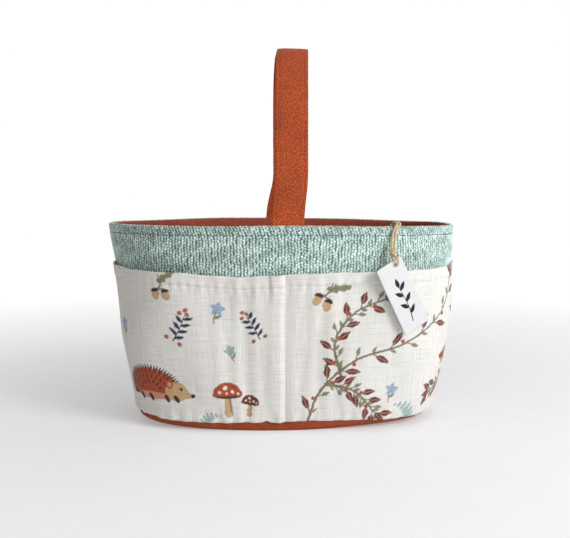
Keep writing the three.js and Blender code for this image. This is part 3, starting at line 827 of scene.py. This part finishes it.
# Each motif, its place, size, turn and flip, and what it needs besides
MOTIFS = (
    (hedgehog, (-112, 24)),
    (toadstool, (-52, 16, 1.15)),
    (toadstool, (-35, 15, 0.72, -9), MAROON),
    (berry_sprig, (-92, 76, 0.95, -24)),
    (berry_sprig, (-24, 78, 0.85, 32)),
    (star_flower, (-140, 86, 1.0, 12)),
    (star_flower, (-56, 102, 1.0, -14)),
    (star_flower, (-48, 68, 0.8, 24), AQUA),
    (star_flower, (86, 34, 0.9, -8)),
    (star_flower, (176, 112, 1.0, 10)),
    (fern, (-170, 4, 1.0, 14)),
    (fern, (-76, 2, 0.6, -20), AQUA),
    (fern, (108, 2, 0.75, 8, True), AQUA),
    (acorns, (-100, 118, 0.9, 10)),
    (acorns, (26, 112, 1.0, -20)),
    (moth, (142, 56, 0.8, 24)),
    (cane, (0, 0), (14 + 2j, 26 + 34j, 54 + 60j, 92 + 72j, 128 + 96j, 140 + 124j)),
    (cane, (0, 0), (42 + 48j, 36 + 74j, 50 + 98j, 80 + 112j), 11.0),
    (cane, (0, 0), (30 + 40j, 54 + 34j, 74 + 14j), 11.0),
    (cane, (0, 0), (164 + 2j, 160 + 30j, 172 + 62j, 160 + 92j)),
    (cane, (0, 0), (166 + 26j, 146 + 34j, 124 + 28j), 10.0),
)


def paint_print(x, z, shift):
    """The printed cloth's colours and cover; x is 0 at the middle, and shift slides the repeat along."""
    cloth = Print(x, z)
    for lap in (-PRINT_REPEAT, 0.0, PRINT_REPEAT):
        for motif, (along, *rest), *needs in MOTIFS:
            cloth.put(shift + lap + along, *rest)
            motif(cloth, *needs)
    return cloth.colour, cloth.ink


# Pieces of the body

def weave(rib, run):
    """Height and tone of the weave at a rib number and a height along the cloth; both from 0 to 1."""
    across = rib + HEM_SLANT * np.maximum(run - RIM_STITCH_Z, 0) + ripples(RIB_WOBBLE, rib, run)
    which = np.floor(across).astype(int) % RIBS
    phase = rng.random(RIBS)
    rows = run / ROW_PITCH + 0.5 * (which % 2) + 0.35 * phase[which]
    row = np.floor(rows).astype(int) % CHANCE_ROWS
    chance, shove = rng.random((2, RIBS, CHANCE_ROWS))
    cell = chance[which, row]
    beside = np.clip(across % 1 + 0.3 * (shove[which, row] - 0.5), 0, 1)
    ridge = np.sin(np.pi * beside) ** 0.8
    stitch = 0.28 + 0.72 * np.sin(np.pi * (rows % 1)) ** 0.6
    rise = np.clip(ridge * stitch * (0.72 + 0.38 * cell), 0, 1)
    tone = 0.45 * cell + 0.55 * (0.5 + ripples(WEAVE_PATCHES, rib, run))
    return rise, np.clip(tone - HEM_SHADE * smooth(run, RIM_STITCH_Z, RIM_STITCH_Z + 2), 0, 1)


def band_relief(t, run, rise):
    """How far the weave stands off its plain face, drawn in at the rim's stitches and the side seams."""
    relief = WEAVE_DEPTH * (rise - WEAVE_LEVEL) * smooth(run, WEAVE_FOOT, WEAVE_FOOT + 3)
    relief = relief - 0.5 * hill(run, RIM_STITCH_Z, 0.9) - 0.7 * hill(np.sin(t) * RIM_B, 0.0, 1.2)
    return np.maximum(relief, DEEPEST)


def woven_band(look):
    """The chunky woven ply, with a soft rolled rim, and a narrow lip where the strap goes in."""
    columns = RIBS * RIB_SAMPLES
    t, girth = round_wall(columns, BAND_GIRTH_Z)
    plain = np.linspace(WALL_FOOT, WEAVE_FOOT, 8)[:-1]
    woven = np.arange(WEAVE_FOOT, RIM_Z - 0.5, ROW_PITCH / ROW_SAMPLES)
    roll = np.linspace(0, np.pi, 12)[1:]
    top = woven[-1]
    level = np.concatenate([plain, woven, np.full_like(roll, top)])[None, :]
    turn = np.concatenate([np.zeros(len(plain) + len(woven)), roll])
    run = level + ROLL_RUN * turn
    rise, tone = weave((np.arange(columns) / RIB_SAMPLES)[:, None], run)
    relief = band_relief(t, run, rise)
    near_strap = 1 - smooth(np.abs(RIM_A * np.cos(t)), STRAP_HALF + 0.6, STRAP_HALF + 2.6)
    lip = LIP_DEPTH + (LIP_AT_STRAP - LIP_DEPTH) * near_strap
    z = level + (RIM_Z + RIM_CREST - top) * np.sin(turn)
    face = wall(t, z, relief * np.cos(turn) - lip * (1 - np.cos(turn)) / 2)
    face[..., 2] += relief * np.sin(turn)
    inner = [wall(t, LIP_FOOT, -lip), wall(t, LIP_FOOT - 0.4, np.maximum(LIP_PLY - lip, -BAND_PLY))]
    inner += [wall(t, height, -BAND_PLY) for height in BAND_INSIDE]
    points = np.concatenate([face, *inner], 1)
    uv = ring_uv(points, girth, np.pad(run, ((0, 0), (0, len(inner))), constant_values=180.0))
    mesh = ring("woven_band", points, uv, girth)
    for name, values in (("rise", rise), ("tone", tone)):
        paint_points(mesh, name, np.pad(values, ((0, 0), (0, len(inner)))).ravel())
    piece = make("woven_band", mesh, look, stands_for=("outer_wall_front", "outer_wall_back"))


def wrinkles(t, z):
    """Soft upright folds of the lining, none at its top and foot."""
    fade = np.sin(np.pi * np.clip((z - FLOOR_TOP) / (RIM_Z - FLOOR_TOP), 0, 1)) ** 0.6
    folds = np.sin(23 * t + 2 * np.sin(0.04 * z)) ** 4 + 0.6 * np.sin(37 * t + 0.05 * z + 1) ** 6
    return fade * (LINING_FOLD * folds - LINING_SEAM * hill(np.sin(t) * RIM_B, 0.0, 1.5))


def shell(name, nodes, faces, heights, columns, look, crease=None):
    """A closed ring of cloth or foam between two offsets from the wall's outside face."""
    outer, inner = faces
    t, girth = round_wall(columns, SHELL_GIRTH_Z)
    z = np.linspace(*heights, 60)[None, :]
    edge = wall(t, heights[1] + 0.25, (outer + inner) / 2)
    back = wall(t, z[:, ::-1], inner - crease(t, z) if crease else inner)
    points = np.concatenate([wall(t, z, outer), edge, back], 1)
    mesh = ring(name, points, ring_uv(points, girth, points[..., 2]), girth)
    return make(name, mesh, look, stands_for=(f"{nodes}_front", f"{nodes}_back")), girth


def foam(look):
    faces = (FOAM_OUT, FOAM_IN)
    heights = (WALL_FOOT, FOAM_TOP)
    piece, _ = shell("wall_foam", "foam_wall", faces, heights, 160, look)


def lining(look):
    faces = (LINING_FACE, LINING_FACE - LINING_PLY)
    heights = (FLOOR_TOP + 0.4, RIM_Z - 0.3)
    piece, girth = shell("lining", "lining_wall", faces, heights, 640, look, wrinkles)


def foot_ring(t):
    """The oval that the sole stands on, smaller and rounder than the base seam and most so on the right."""
    u, v = oval(t, FOOT_N - FOOT_N_SKEW * np.cos(t))
    return np.stack([FOOT_A * u + FOOT_SHIFT, FOOT_B * v], -1)


def sole(look):
    """The suede base: a flat sole whose edge turns up to the base seam, slightly gathered there."""
    t, girth = round_wall(400, SEAM_Z)
    turn = np.linspace(0, np.pi / 2, 10)
    gather = SOLE_GATHER * np.sin(GATHERS * t) * np.cos(turn) ** 2
    inward = ((1 - np.cos(turn)) ** FOOT_CURL)[:, None]
    arcs = []
    for ply, ripple in ((0.0, gather), (SOLE_PLY, 0.0)):
        seam = wall(t, SEAM_Z, ripple - ply)[..., :2]
        flat = seam + (foot_ring(t) - seam) * inward
        z = SEAM_Z - (SEAM_Z - ply) * np.sin(turn) + 0 * t
        arcs.append(np.concatenate([flat, z[..., None]], -1))
    outer, inner = arcs[0][:, ::-1], arcs[1]
    lip = ((LIP_OUT, 0.6), (LIP_OUT, SOLE_LIP), (LIP_IN, SOLE_LIP), (LIP_IN, 0.35))
    lip = [wall(t, SEAM_Z + up, out) for out, up in lip]
    rings = np.linspace(0.985, CENTRE, 22)
    under, over = disc(outer[:, 0], rings[::-1]), disc(inner[:, -1], rings)
    points = np.concatenate([under, outer, *lip, inner, over], 1)
    uv = points[..., :2].copy()
    uv[:, len(rings):-len(rings), 1] += 3.0 * points[:, len(rings):-len(rings), 2]
    piece = make("base_sole", ring("base_sole", points, uv), look, stands_for=("base_cover",))
    flat = (2 * (BASE_A + SOLE_LIP) * MM, 2 * (BASE_B + SOLE_LIP) * MM)


def board(look):
    """The stiff plate between sole and floor cloth, kept within the sole's turned-up edge."""
    t, _ = round_wall(160, SEAM_Z)
    flat = foot_ring(t) * np.array([CENTRE, 1, 1, CENTRE])[:, None]
    z = np.array([BOARD_FOOT, BOARD_FOOT, BOARD_TOP, BOARD_TOP])
    points = np.concatenate([flat, (z + 0 * t)[..., None]], -1)
    mesh = ring("stiff_board", points, flat)
    make("stiff_board", mesh, look, stands_for=("base_board",))


def floor_cloth(look):
    """The lining's floor: a sheet that lies on the base board, a little wavy, its edge turned up."""
    t, _ = round_wall(240, SEAM_Z)
    rings = np.linspace(1, CENTRE, 40)
    over = disc(wall(t, SEAM_Z, LINING_FACE - 0.2)[:, 0], rings)
    wave = FLOOR_WAVE * (np.sin(0.05 * over[..., 0] + 1) * np.sin(0.07 * over[..., 1]) + 1)
    fillet = FLOOR_FILLET * (1 - smooth(1 - rings, 0.0, 0.03))
    over[..., 2] = FLOOR_TOP + wave * smooth(1 - rings, 0, 0.2) + fillet
    under = over[:, ::-1].copy()
    under[..., 2] = np.minimum(under[..., 2] - LINING_PLY, FLOOR_FOOT + fillet[::-1])
    points = np.concatenate([under, over], 1)
    mesh = ring("floor_cloth", points, points[..., :2])
    piece = make("floor_cloth", mesh, look, stands_for=("floor_lining",))


# Pockets

def gape(t, z):
    """How far the pocket cloth stands off the wall in the middle of each mouth."""
    most = np.where(np.sin(t) < 0, np.cos(t) < 0, np.cos(t) > 0)
    up = np.clip((z - WALL_FOOT) / (POCKET_MOUTH_Z - WALL_FOOT), 0, 1)
    return np.where(most, LEFT_GAPE, RIGHT_GAPE) * np.sin(2 * t) ** 4 * up ** 0.8


def mouth_height(x, half):
    """Height of a pocket's top edge, which sags beside the divider and rises at the seams."""
    left = LEFT_MOUTH_RISE * smooth(-x, *LEFT_MOUTH_RUN)
    left = left + (MOUTH_END_RISE - LEFT_MOUTH_RISE) * smooth(-x, LEFT_END_FROM, half - LEFT_END_SHORT)
    right = MOUTH_END_RISE * smooth(x, RIGHT_END_FROM, half)
    return POCKET_MOUTH_Z + hills(MOUTH_HILLS, x) + ripples(MOUTH_WAVES, x) + left + right


def pocket_foot(x):
    """Height of a pocket's foot: a pucker beside the divider, higher on its right and at the left end."""
    left = LEFT_FOOT_RISE * smooth(-x, *LEFT_FOOT_RUN)
    return POCKET_FOOT_Z + hills(FOOT_HILLS, x) + ripples(FOOT_WAVES, x) + left


def divider_shape(x, below):
    """The pleat and its flap beside the divider, and the seam that draws the cloth in."""
    left = -x - PLEAT_ASIDE
    pleat = PLEAT_RISE * rise_fall(left, 0.0, PLEAT_FLANK, PLEAT_FLANK, PLEAT_RUN)
    flap = FLAP_RISE * rise_fall(left, 0.0, FLAP_EDGE, FLAP_WIDTH - FLAP_EDGE, FLAP_WIDTH + 1.0)
    flap = flap * (1 - smooth(below, HEM_DROP - 2.0, 3 * HEM_DROP))
    seam = SEAM_DEPTH * hill(left, -0.5, 1.0) + SEAM_PULL * rise_fall(-left, 0.0, 0.5, 0.5, 10.0)
    return pleat + flap - seam


def soft_folds(x, z, below):
    """Broad folds, with finer ones beside the divider and along the hem; least where the foot is sewn."""
    beside = np.abs(x + 4)
    folds = 0.45 * np.sin(0.42 * x + 0.8 * np.sin(0.03 * z)) * hill(beside, 34, 26) + ripples(FOLDS, x, z)
    folds = folds + 0.25 * np.sin(0.9 * x) * hill(below, HEM_DROP, 5)
    return folds * (0.35 + 0.65 * smooth(z, WALL_FOOT, WALL_FOOT + 5))


def pocket_relief(x, z, mouth):
    """The pocket cloth's own shape: divider, hem, soft folds and puckers at the base."""
    below = mouth - z
    hem = 1 - smooth(below, HEM_DROP - 1.5, HEM_DROP + 0.5) - hill(below, HEM_DROP, 0.8)
    pucker = ripples(PUCKERS, x) * hill(z, WALL_FOOT, 9)
    notch = -1.1 * hill(x, -20, 3.5) * hill(z, WALL_FOOT, 7)
    return divider_shape(x, below) + HEM_RISE * hem + soft_folds(x, z, below) + pucker + notch


def pocket_shape(side):
    """A panel's angles, places along it, heights, top edge, stand-off from the wall, and length."""
    start = -np.pi if side == "front" else 0.0
    t, girth = even_angles(start + SIDE_SEAM, start + np.pi - SIDE_SEAM, POCKET_COLUMNS, POCKET_GIRTH_Z)
    half = girth / 2
    x = np.linspace(-half, half, len(t))[:, None]
    t = t[:, None]
    mouth, foot = mouth_height(x, half), pocket_foot(x)
    z = foot + np.linspace(0, 1, POCKET_ROWS) * (mouth - foot)
    free = 0.25 + 0.75 * (1 - smooth(np.abs(x), half - 3.0, half))
    relief = np.maximum(pocket_relief(x, z, mouth), INMOST) * free
    stand = POCKET_OFF + POCKET_PLY + gape(t, z) + relief
    stand -= FOOT_TUCK * (1 - smooth(z - foot, 0.0, 1.6))
    stand -= END_TUCK * smooth(np.abs(x), half - 45, half - 8) * smooth(z, *END_TUCK_RUN)
    return t, x, z, mouth, stand, girth


def print_on(mesh, x, z, spare, shift):
    """Keeps the print on a panel's face and top edge, and leaves the spare points behind it plain."""
    colour, ink = paint_print(np.broadcast_to(x, z.shape).ravel(), z.ravel(), shift)
    ink = np.pad(ink.reshape(z.shape), ((0, 0), (0, spare)))
    ink[:, POCKET_ROWS:POCKET_ROWS + 2] = ink[:, POCKET_ROWS - 1:POCKET_ROWS]
    colour = np.pad(colour.reshape(*z.shape, 3), ((0, 0), (0, spare), (0, 0)), mode="edge")
    paint_points(mesh, "ink", ink.ravel())
    paint_points(mesh, "print", colour.reshape(-1, 3))


def pocket(side, look, thread):
    """One printed pocket panel, sewn at its ends, at the base and down the middle."""
    shape = pocket_shape(side)
    t, x, z, mouth, stand, girth = shape
    top = stand[:, -1:]
    edge = [wall(t, mouth + 0.45, top - 0.5), wall(t, mouth + 0.4, np.maximum(top - 1.3, 0.1))]
    rows = np.linspace(POCKET_ROWS - 1, 0, POCKET_BACK_ROWS).astype(int)
    behind = wall(t, z[:, rows], np.maximum(stand[:, rows] - POCKET_PLY, 0.12))
    behind[:, :1] = wall(t, z[:, -1:], np.maximum(top - 1.7, 0.05))
    points = np.concatenate([wall(t, z, stand), *edge, behind], 1)
    uv = np.stack([np.broadcast_to(x, points.shape[:2]), points[..., 2]], -1)
    mesh = tube(f"pocket_{side}", points, uv)
    print_on(mesh, x, z, points.shape[1] - POCKET_ROWS, 0.0 if side == "front" else BACK_SHIFT)
    piece = make(f"pocket_{side}", mesh, look, stands_for=(f"pocket_panel_{side}",))
    sew_pocket(side, shape, thread)


# Stitches

def stitches(name, middles, along, up, long, thick, look, stands_for, body="root"):
    """Small stitches, each a thread that dips into the cloth at both ends."""
    q = np.array([-1.0, -0.8, -0.4, 0.0, 0.4, 0.8, 1.0])
    radius = thick / 2 * np.array([0.45, 0.85, 1.0, 1.0, 1.0, 0.85, 0.45])
    turn = -np.linspace(0, 2 * np.pi, 8, endpoint=False)[:, None]
    side = np.cross(up, along)
    centre = middles[:, None] + along[:, None] * (q * long / 2)[:, None]
    centre = centre - up[:, None] * (thick * 0.9 * q ** 4)[:, None]
    circle = side[:, None] * np.cos(turn) + up[:, None] * np.sin(turn)
    points = centre[:, :, None] + radius[:, None, None] * circle[:, None]
    count, rings, sides = points.shape[:3]
    first = (np.arange(count) * rings * sides)[:, None, None]
    face_sets = [(first + faces).reshape(-1, faces.shape[1]) for faces in tube_faces(rings, sides)]
    run, around = np.meshgrid(q * long / 2, np.arange(sides) * thick / 2, indexing="ij")
    uv = np.tile(np.stack([run, around], -1).reshape(-1, 2), (count, 1))
    uv = np.concatenate([uv[faces.ravel()] for faces in face_sets])
    mesh = new_mesh(name, points.reshape(-1, 3), face_sets, uv)
    return make(name, mesh, look, body, stands_for)


def sew(name, line, up, thread, look, slot, stands_for, body="root"):
    """A row of stitches along a line of points with their up vectors."""
    pitch, long, thick = thread
    run = run_along(line)
    at = np.arange(pitch / 2, run[-1], pitch)[:-1]
    middles = read_at(at, run, line)
    ahead = unit(read_at(at + 0.4, run, line) - middles)
    ups = read_at(at, run, up)
    ups = unit(ups - ahead * (ups * ahead).sum(1)[:, None])
    return stitches(name, middles, ahead, ups, long, thick, look, stands_for, body)


def sew_on_wall(name, t, z, out, *how):
    """A row of stitches at angles and heights on the wall."""
    sew(name, wall(t, z, out), outward(t, z), *how)


def sew_rim(look):
    t, _ = even_angles(-np.pi, np.pi, 900, RIM_STITCH_Z)
    nodes = ("rim_stitch_front", "rim_stitch_back")
    # The thread is darker than the band, partly as painted shade along the stitch line
    sew_on_wall("rim_stitches", t, RIM_STITCH_Z, -0.45, RIM_THREAD, look, "teal_thread", nodes)


def sew_pocket(side, shape, look):
    """The rows of stitches along a pocket's hem and down its middle."""
    t, x, z, mouth, stand, _ = shape
    how = (POCKET_THREAD, look, "pale_thread")
    pick = np.arange(4, len(t) - 4)
    level = np.abs(z[pick] - (mouth[pick] - HEM_DROP)).argmin(1)
    hem = (t[pick, 0], z[pick, level], stand[pick, level] + 0.05)
    sew_on_wall(f"hem_stitches_{side}", *hem, *how, (f"pocket_hem_stitch_{side}",))
    middle = np.abs(x - 0.5).argmin()
    divider = (t[middle], z[middle], stand[middle] + 0.1)
    sew_on_wall(f"divider_stitches_{side}", *divider, *how, (f"pocket_divider_stitch_{side}",))


# Strap

def strap_line():
    """The strap's middle line, from inside the front wall over the arch to inside the back wall."""
    inside = np.linspace(STRAP_FOOT_Z, RIM_Z, 30)
    tab = np.stack([RIM_B - LEG_Y - plan(inside)[1], inside], 1)
    leg = np.linspace(RIM_Z, LEG_TOP_Z, 30)[1:-1]
    leg = np.stack([np.full_like(leg, -LEG_Y), leg], 1)
    u, v = oval(np.linspace(np.pi, np.pi / 2, 60), HANDLE_N)
    arch = np.stack([LEG_Y * u, LEG_TOP_Z + (HANDLE_TOP_Z - STRAP_THICK / 2 - LEG_TOP_Z) * v], 1)
    front = np.concatenate([tab, leg, arch])
    line = np.concatenate([front, (front * [-1, 1])[-2::-1]])
    over = np.clip((line[:, 0] + LEG_Y) / LEAN_TURN, 0, 1)
    lean = FRONT_LEAN + (BACK_LEAN - FRONT_LEAN) * over + LEAN_WAVE * np.sin(np.linspace(0, 9, len(line)))
    x = lean * smooth(line[:, 1], RIM_Z, LEAN_TOP_Z)
    return curve_through(np.column_stack([x, line])[::4], 340)


def strap(look, thread):
    """The suede strap: folded edges, a shallow dish across and a groove along each row of stitches."""
    line = strap_line()
    side, up = level_frames(line)
    turn = np.linspace(0, 2 * np.pi, 56, endpoint=False)
    c, s = np.cos(turn), np.sin(turn)
    across = STRAP_HALF * np.sign(c) * np.abs(c) ** 0.3
    thick = STRAP_THICK / 2 * np.sign(s) * np.abs(s) ** 0.35
    groove = GROOVE * hill(np.abs(across), STRAP_HALF - STRAP_STITCH_IN, GROOVE_HALF) * np.sign(thick)
    run = run_along(line)[:, None]
    free = smooth(line[:, 2:], RIM_Z, RIM_Z + STRAP_FREE)
    wide = across * (1 + 0.003 * np.sin(0.35 * run) * free)
    bent = ripples(STRAP_RIPPLES, run, across) - STRAP_DISH * (across / STRAP_HALF) ** 2
    lifted = thick - groove + bent * free
    points = line[:, None] + wide[..., None] * side[:, None] - lifted[..., None] * up[:, None]
    uv = np.stack(np.broadcast_arrays(run, across + 40.0 * (s < 0)), -1)
    nodes = ("handle_cover", "handle_core", "handle_tab_front", "handle_tab_back")
    piece = make("strap", tube("strap", points, uv), look, body=None, stands_for=nodes)
    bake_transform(piece)
    seen = line[:, 2] > RIM_Z + 1
    for name, sign in (("left", -1), ("right", 1)):
        row = line + side * sign * (STRAP_HALF - STRAP_STITCH_IN) - up * (STRAP_THICK / 2 - GROOVE - 0.05)
        sewn = sew(
            f"strap_stitches_{name}", row[seen], -up[seen], STRAP_THREAD, thread, "rust_thread",
            (f"handle_stitch_{name}",), body=None,
        )
        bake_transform(sewn)


# Tag and twine

def from_tag(points):
    """Points of the tag's frame, in the part's frame, in mm."""
    c, s = math.cos(TAG_TURN), math.sin(TAG_TURN)
    x, y, z = np.moveaxis(np.asarray(points, float), -1, 0)
    return TAG_ORIGIN + np.stack([c * x - s * y, s * x + c * y, z], -1)


def twisted(name, line, radius, first_side):
    """A twine of three plies along a line of points in mm."""
    side, up = frames_along(line, first_side)
    run = run_along(line)[:, None]
    turn = -np.linspace(0, 2 * np.pi, 24, endpoint=False)
    turned = turn - 2 * np.pi * run / TWIST_PITCH
    reach = radius * (0.74 + 0.27 * np.abs(np.cos(PLIES / 2 * turned)) ** 0.7)
    circle = np.cos(turn)[:, None] * side[:, None] + np.sin(turn)[:, None] * up[:, None]
    uv = np.stack(np.broadcast_arrays(run, radius * turned), -1)
    return tube(name, line[:, None] + reach[..., None] * circle, uv)


def laid_over_rim(route):
    """A route of the twine lowered onto the rim and slipped along it to the right at the top."""
    x, y, z = np.array(route).T
    return np.stack([x + RIM_SLIP * smooth(z, *SLIP_RUN), y, np.where(z > 0, RIM_HUG * z, z)], -1)


def twine(look):
    """Two strands from the tack over the rim to the knot; the left one goes on through the tag's hole."""
    mirrored = [(-x, y, z) for x, y, z in OVER_RIM]
    left_nodes = ("twine_anchor", "twine_strand_left", "twine_loop")
    strands = (
        ("right", OVER_RIM + RIGHT_STRAND, 180, (0.1, 0, 1), ("twine_strand_right",)),
        ("left", mirrored + LEFT_STRAND + TAG_LOOP, 300, (0, 0, 1), left_nodes),
    )
    cords = []
    for name, route, count, first_side, nodes in strands:
        line = from_tag(curve_through(laid_over_rim(route), count))
        mesh = twisted(f"twine_{name}", line, TWINE / 2, first_side)
        piece = make(f"twine_{name}", mesh, look, body=None, stands_for=nodes)
        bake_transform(piece)
        cords.append((piece, line))
    return cords


def knot(look):
    """Two and a half wraps of the twine round both strands."""
    angle = np.linspace(0, 5 * np.pi, 90)
    down = KNOT_TALL * (0.5 - angle / angle[-1]) + KNOT_TILT * np.cos(angle + 0.6)
    wraps = np.stack([KNOT_WIDE * np.cos(angle), KNOT_DEEP * np.sin(angle), down], 1)
    mesh = twisted("knot", from_tag(KNOT_AT + wraps), KNOT_TWINE, (0, 0, 1))
    return make("knot", mesh, look, "twine", ("twine_knot",))


def from_card(flat, proud):
    """Points of the card, x across and z up from its hole, moved off its middle plane towards its front."""
    x, z = flat[..., 0], flat[..., 1]
    curl = CURL_ALONG * (z / TAG_LENGTH) ** 2 + CURL_ACROSS * (x / TAG_WIDTH) ** 2
    c, s = math.cos(TAG_TILT), math.sin(TAG_TILT)
    return from_tag(HOLE_AT + np.stack([c * x - s * z, -proud - curl, s * x + c * z], -1))


def card_outline():
    """The card's outline about its hole, with rounded corners, closed."""
    right = TAG_WIDTH / 2 - TAG_HOLE_ASIDE - TAG_CORNER
    left = right - TAG_WIDTH + 2 * TAG_CORNER
    high, low = TAG_HOLE_DROP - TAG_CORNER, TAG_FOOT + TAG_CORNER
    corners = np.array([(right, high), (left, high), (left, low), (right, low)])
    angle = np.radians(np.linspace(0, 90, 9) + 90 * np.arange(4)[:, None])
    outline = corners[:, None] + TAG_CORNER * np.stack([np.cos(angle), np.sin(angle)], -1)
    outline = outline.reshape(-1, 2)
    return np.concatenate([outline, outline[:1]])


def tag(look, ink):
    """The card with its punched hole, soft edges and a slight curl, and a printed sprig."""
    outline = card_outline()
    run = run_along(outline)
    edge = read_at(np.linspace(0, run[-1], 320, endpoint=False), run, outline)
    hole = unit(edge) * TAG_HOLE / 2
    rings = np.array([0, 0.02, *np.linspace(0.08, 0.92, 14), 0.985, 1.0])
    proud = TAG_THICK / 2 * np.array([0.55, 0.95, *np.ones(14), 0.92, 0.5])
    rings = np.concatenate([rings, rings[::-1]])[:, None]
    proud = np.concatenate([proud, -proud[::-1]])
    flat = (hole[:, None] + (edge - hole)[:, None] * rings)[::-1]
    mesh = ring("tag_card", from_card(flat, proud), flat)
    piece = make("tag_card", mesh, look, "tag", ("hang_tag",))
    tag_print(ink)
    return piece


def tag_print(ink):
    """A leaf sprig, as ink that lies on the card."""
    stem = curve_through(np.array(SPRIG_STEM) + [-TAG_HOLE_ASIDE, TAG_FOOT], 24)
    strips = [(stem, np.linspace(*STEM_HALF, 24)[:, None] * [1, 0])]
    share = np.linspace(0, 1, 13)[:, None]
    for place, side in SPRIG_LEAVES:
        lean = math.radians(90 - LEAF_LEAN * side)
        axis = np.array([math.cos(lean), math.sin(lean)])
        half = 0.05 + LEAF_HALF * np.sin(np.pi * share ** 0.8)
        strips.append((stem[place] + axis * LEAF_LONG * share, half * [-axis[1], axis[0]]))
    flats = [np.stack([line - half, line + half, line + half, line - half], 1) for line, half in strips]
    starts = np.cumsum([0] + [4 * len(flat) for flat in flats])
    quads = [start + np.concatenate(tube_faces(len(flat), 4)) for start, flat in zip(starts, flats)]
    quads = np.concatenate(quads)
    flat = np.concatenate(flats)
    points = from_card(flat, TAG_THICK / 2 + INK_PROUD * np.array([1, 1, -1, -1]))
    mesh = new_mesh("tag_print", points.reshape(-1, 3), [quads], flat.reshape(-1, 2)[quads.ravel()])
    make("tag_print", mesh, ink, "tag")


def tack(look):
    """Three bars of thread over the twine's bend inside the rim."""
    bars = TACK_PITCH * np.array([[-1, 0, 0], [0, 0, 0], [1, 0, 0]])
    middles = from_tag(TACK_AT + bars + [0, TACK_OVER, 0])
    along, up = (from_tag([axis] * 3) - TAG_ORIGIN for axis in ([0, 0, 1], [0, 1, 0]))
    nodes = ("tag_thread_tack",)
    stitches("tack_stitches", middles, along, up, TACK_LONG, TACK_THICK, look, nodes)


def hang_tag():
    """The tag on its twine, with its knot and card."""
    jute = plain_look("jute_twine")
    cords = twine(jute)
    wraps = knot(jute)
    card = tag(plain_look("tag_paper"), plain_look("tag_ink"))


# Light and floor

def lamp(name, place, size, power, colour):
    """A soft square lamp aimed at the part."""
    data = bpy.data.lights.new(name, "AREA")
    data.size = size
    data.energy = power
    data.color = colour
    light = add(name, data)
    light.location = place
    light.rotation_euler = (Vector(LAMP_AIM) - Vector(place)).to_track_quat("-Z", "Y").to_euler()


def floor_look():
    """A pale floor that keeps the shadow near the part and goes over to the white background further away."""
    look = Look("floor", 0.9)
    look.coloured(look.ramp(look.noise(look.place(), 40.0), *FLOOR_COLOURS))
    away = look.node("VectorMath", "Value", {0: look.place()}, operation="LENGTH")
    fade = {"Value": away, "From Min": SHADOW_FROM, "From Max": SHADOW_TO, "To Min": NEAR_GLOW}
    share = look.math("MULTIPLY", look.node("MapRange", "Result", fade), look.seen())
    glow = look.node("Emission", 0, {"Color": WHITE, "Strength": 1.0})
    mixed = look.node("MixShader", 0, {0: share, 1: look.shader.outputs[0], 2: glow})
    look.link(mixed, look.tree.nodes["Material Output"].inputs["Surface"])
    return look.made


def world_light():
    """Dim warm light from all round, and a white background where it is seen."""
    world = bpy.data.worlds.new("world")
    bpy.context.scene.world = world
    world.use_nodes = True
    nodes = Nodes(world.node_tree)
    back = nodes.tree.nodes["Background"]
    seen = nodes.seen()
    nodes.link(nodes.between(seen, AMBIENT, 1.0), back.inputs["Strength"])
    nodes.link(nodes.mix(seen, AMBIENT_TINT, WHITE), back.inputs["Color"])


def studio():
    """A pale floor, a white background and soft light, mostly from the right."""
    corners = FLOOR_HALF / MM * np.array([[-1, -1, 0], [1, -1, 0], [1, 1, 0], [-1, 1, 0]])
    mesh = new_mesh("floor", corners, [np.array([[0, 1, 2, 3]])])
    mesh.materials.append(floor_look())
    add("floor", mesh)
    for settings in LAMPS:
        lamp(*settings)
    world_light()
    bpy.context.scene.view_settings.view_transform = "Standard"


def build():
    camera_like_photo()
    hang_tag()
    cotton = lining_look()
    linen = linen_look()
    pale, rust = plain_look("pale_thread"), plain_look("rust_thread")
    foam(plain_look("foam"))
    woven_band(band_look())
    lining(cotton)
    floor_cloth(cotton)
    board(board_look())
    # The sole gets the darker copy of the suede, whose extra darkness is painted shade
    sole(suede_look("base_suede"))
    sew_rim(plain_look("teal_thread"))
    for side in ("front", "back"):
        pocket(side, linen, pale)
    strap(suede_look("suede"), rust)
    tack(rust)
    studio()


build()
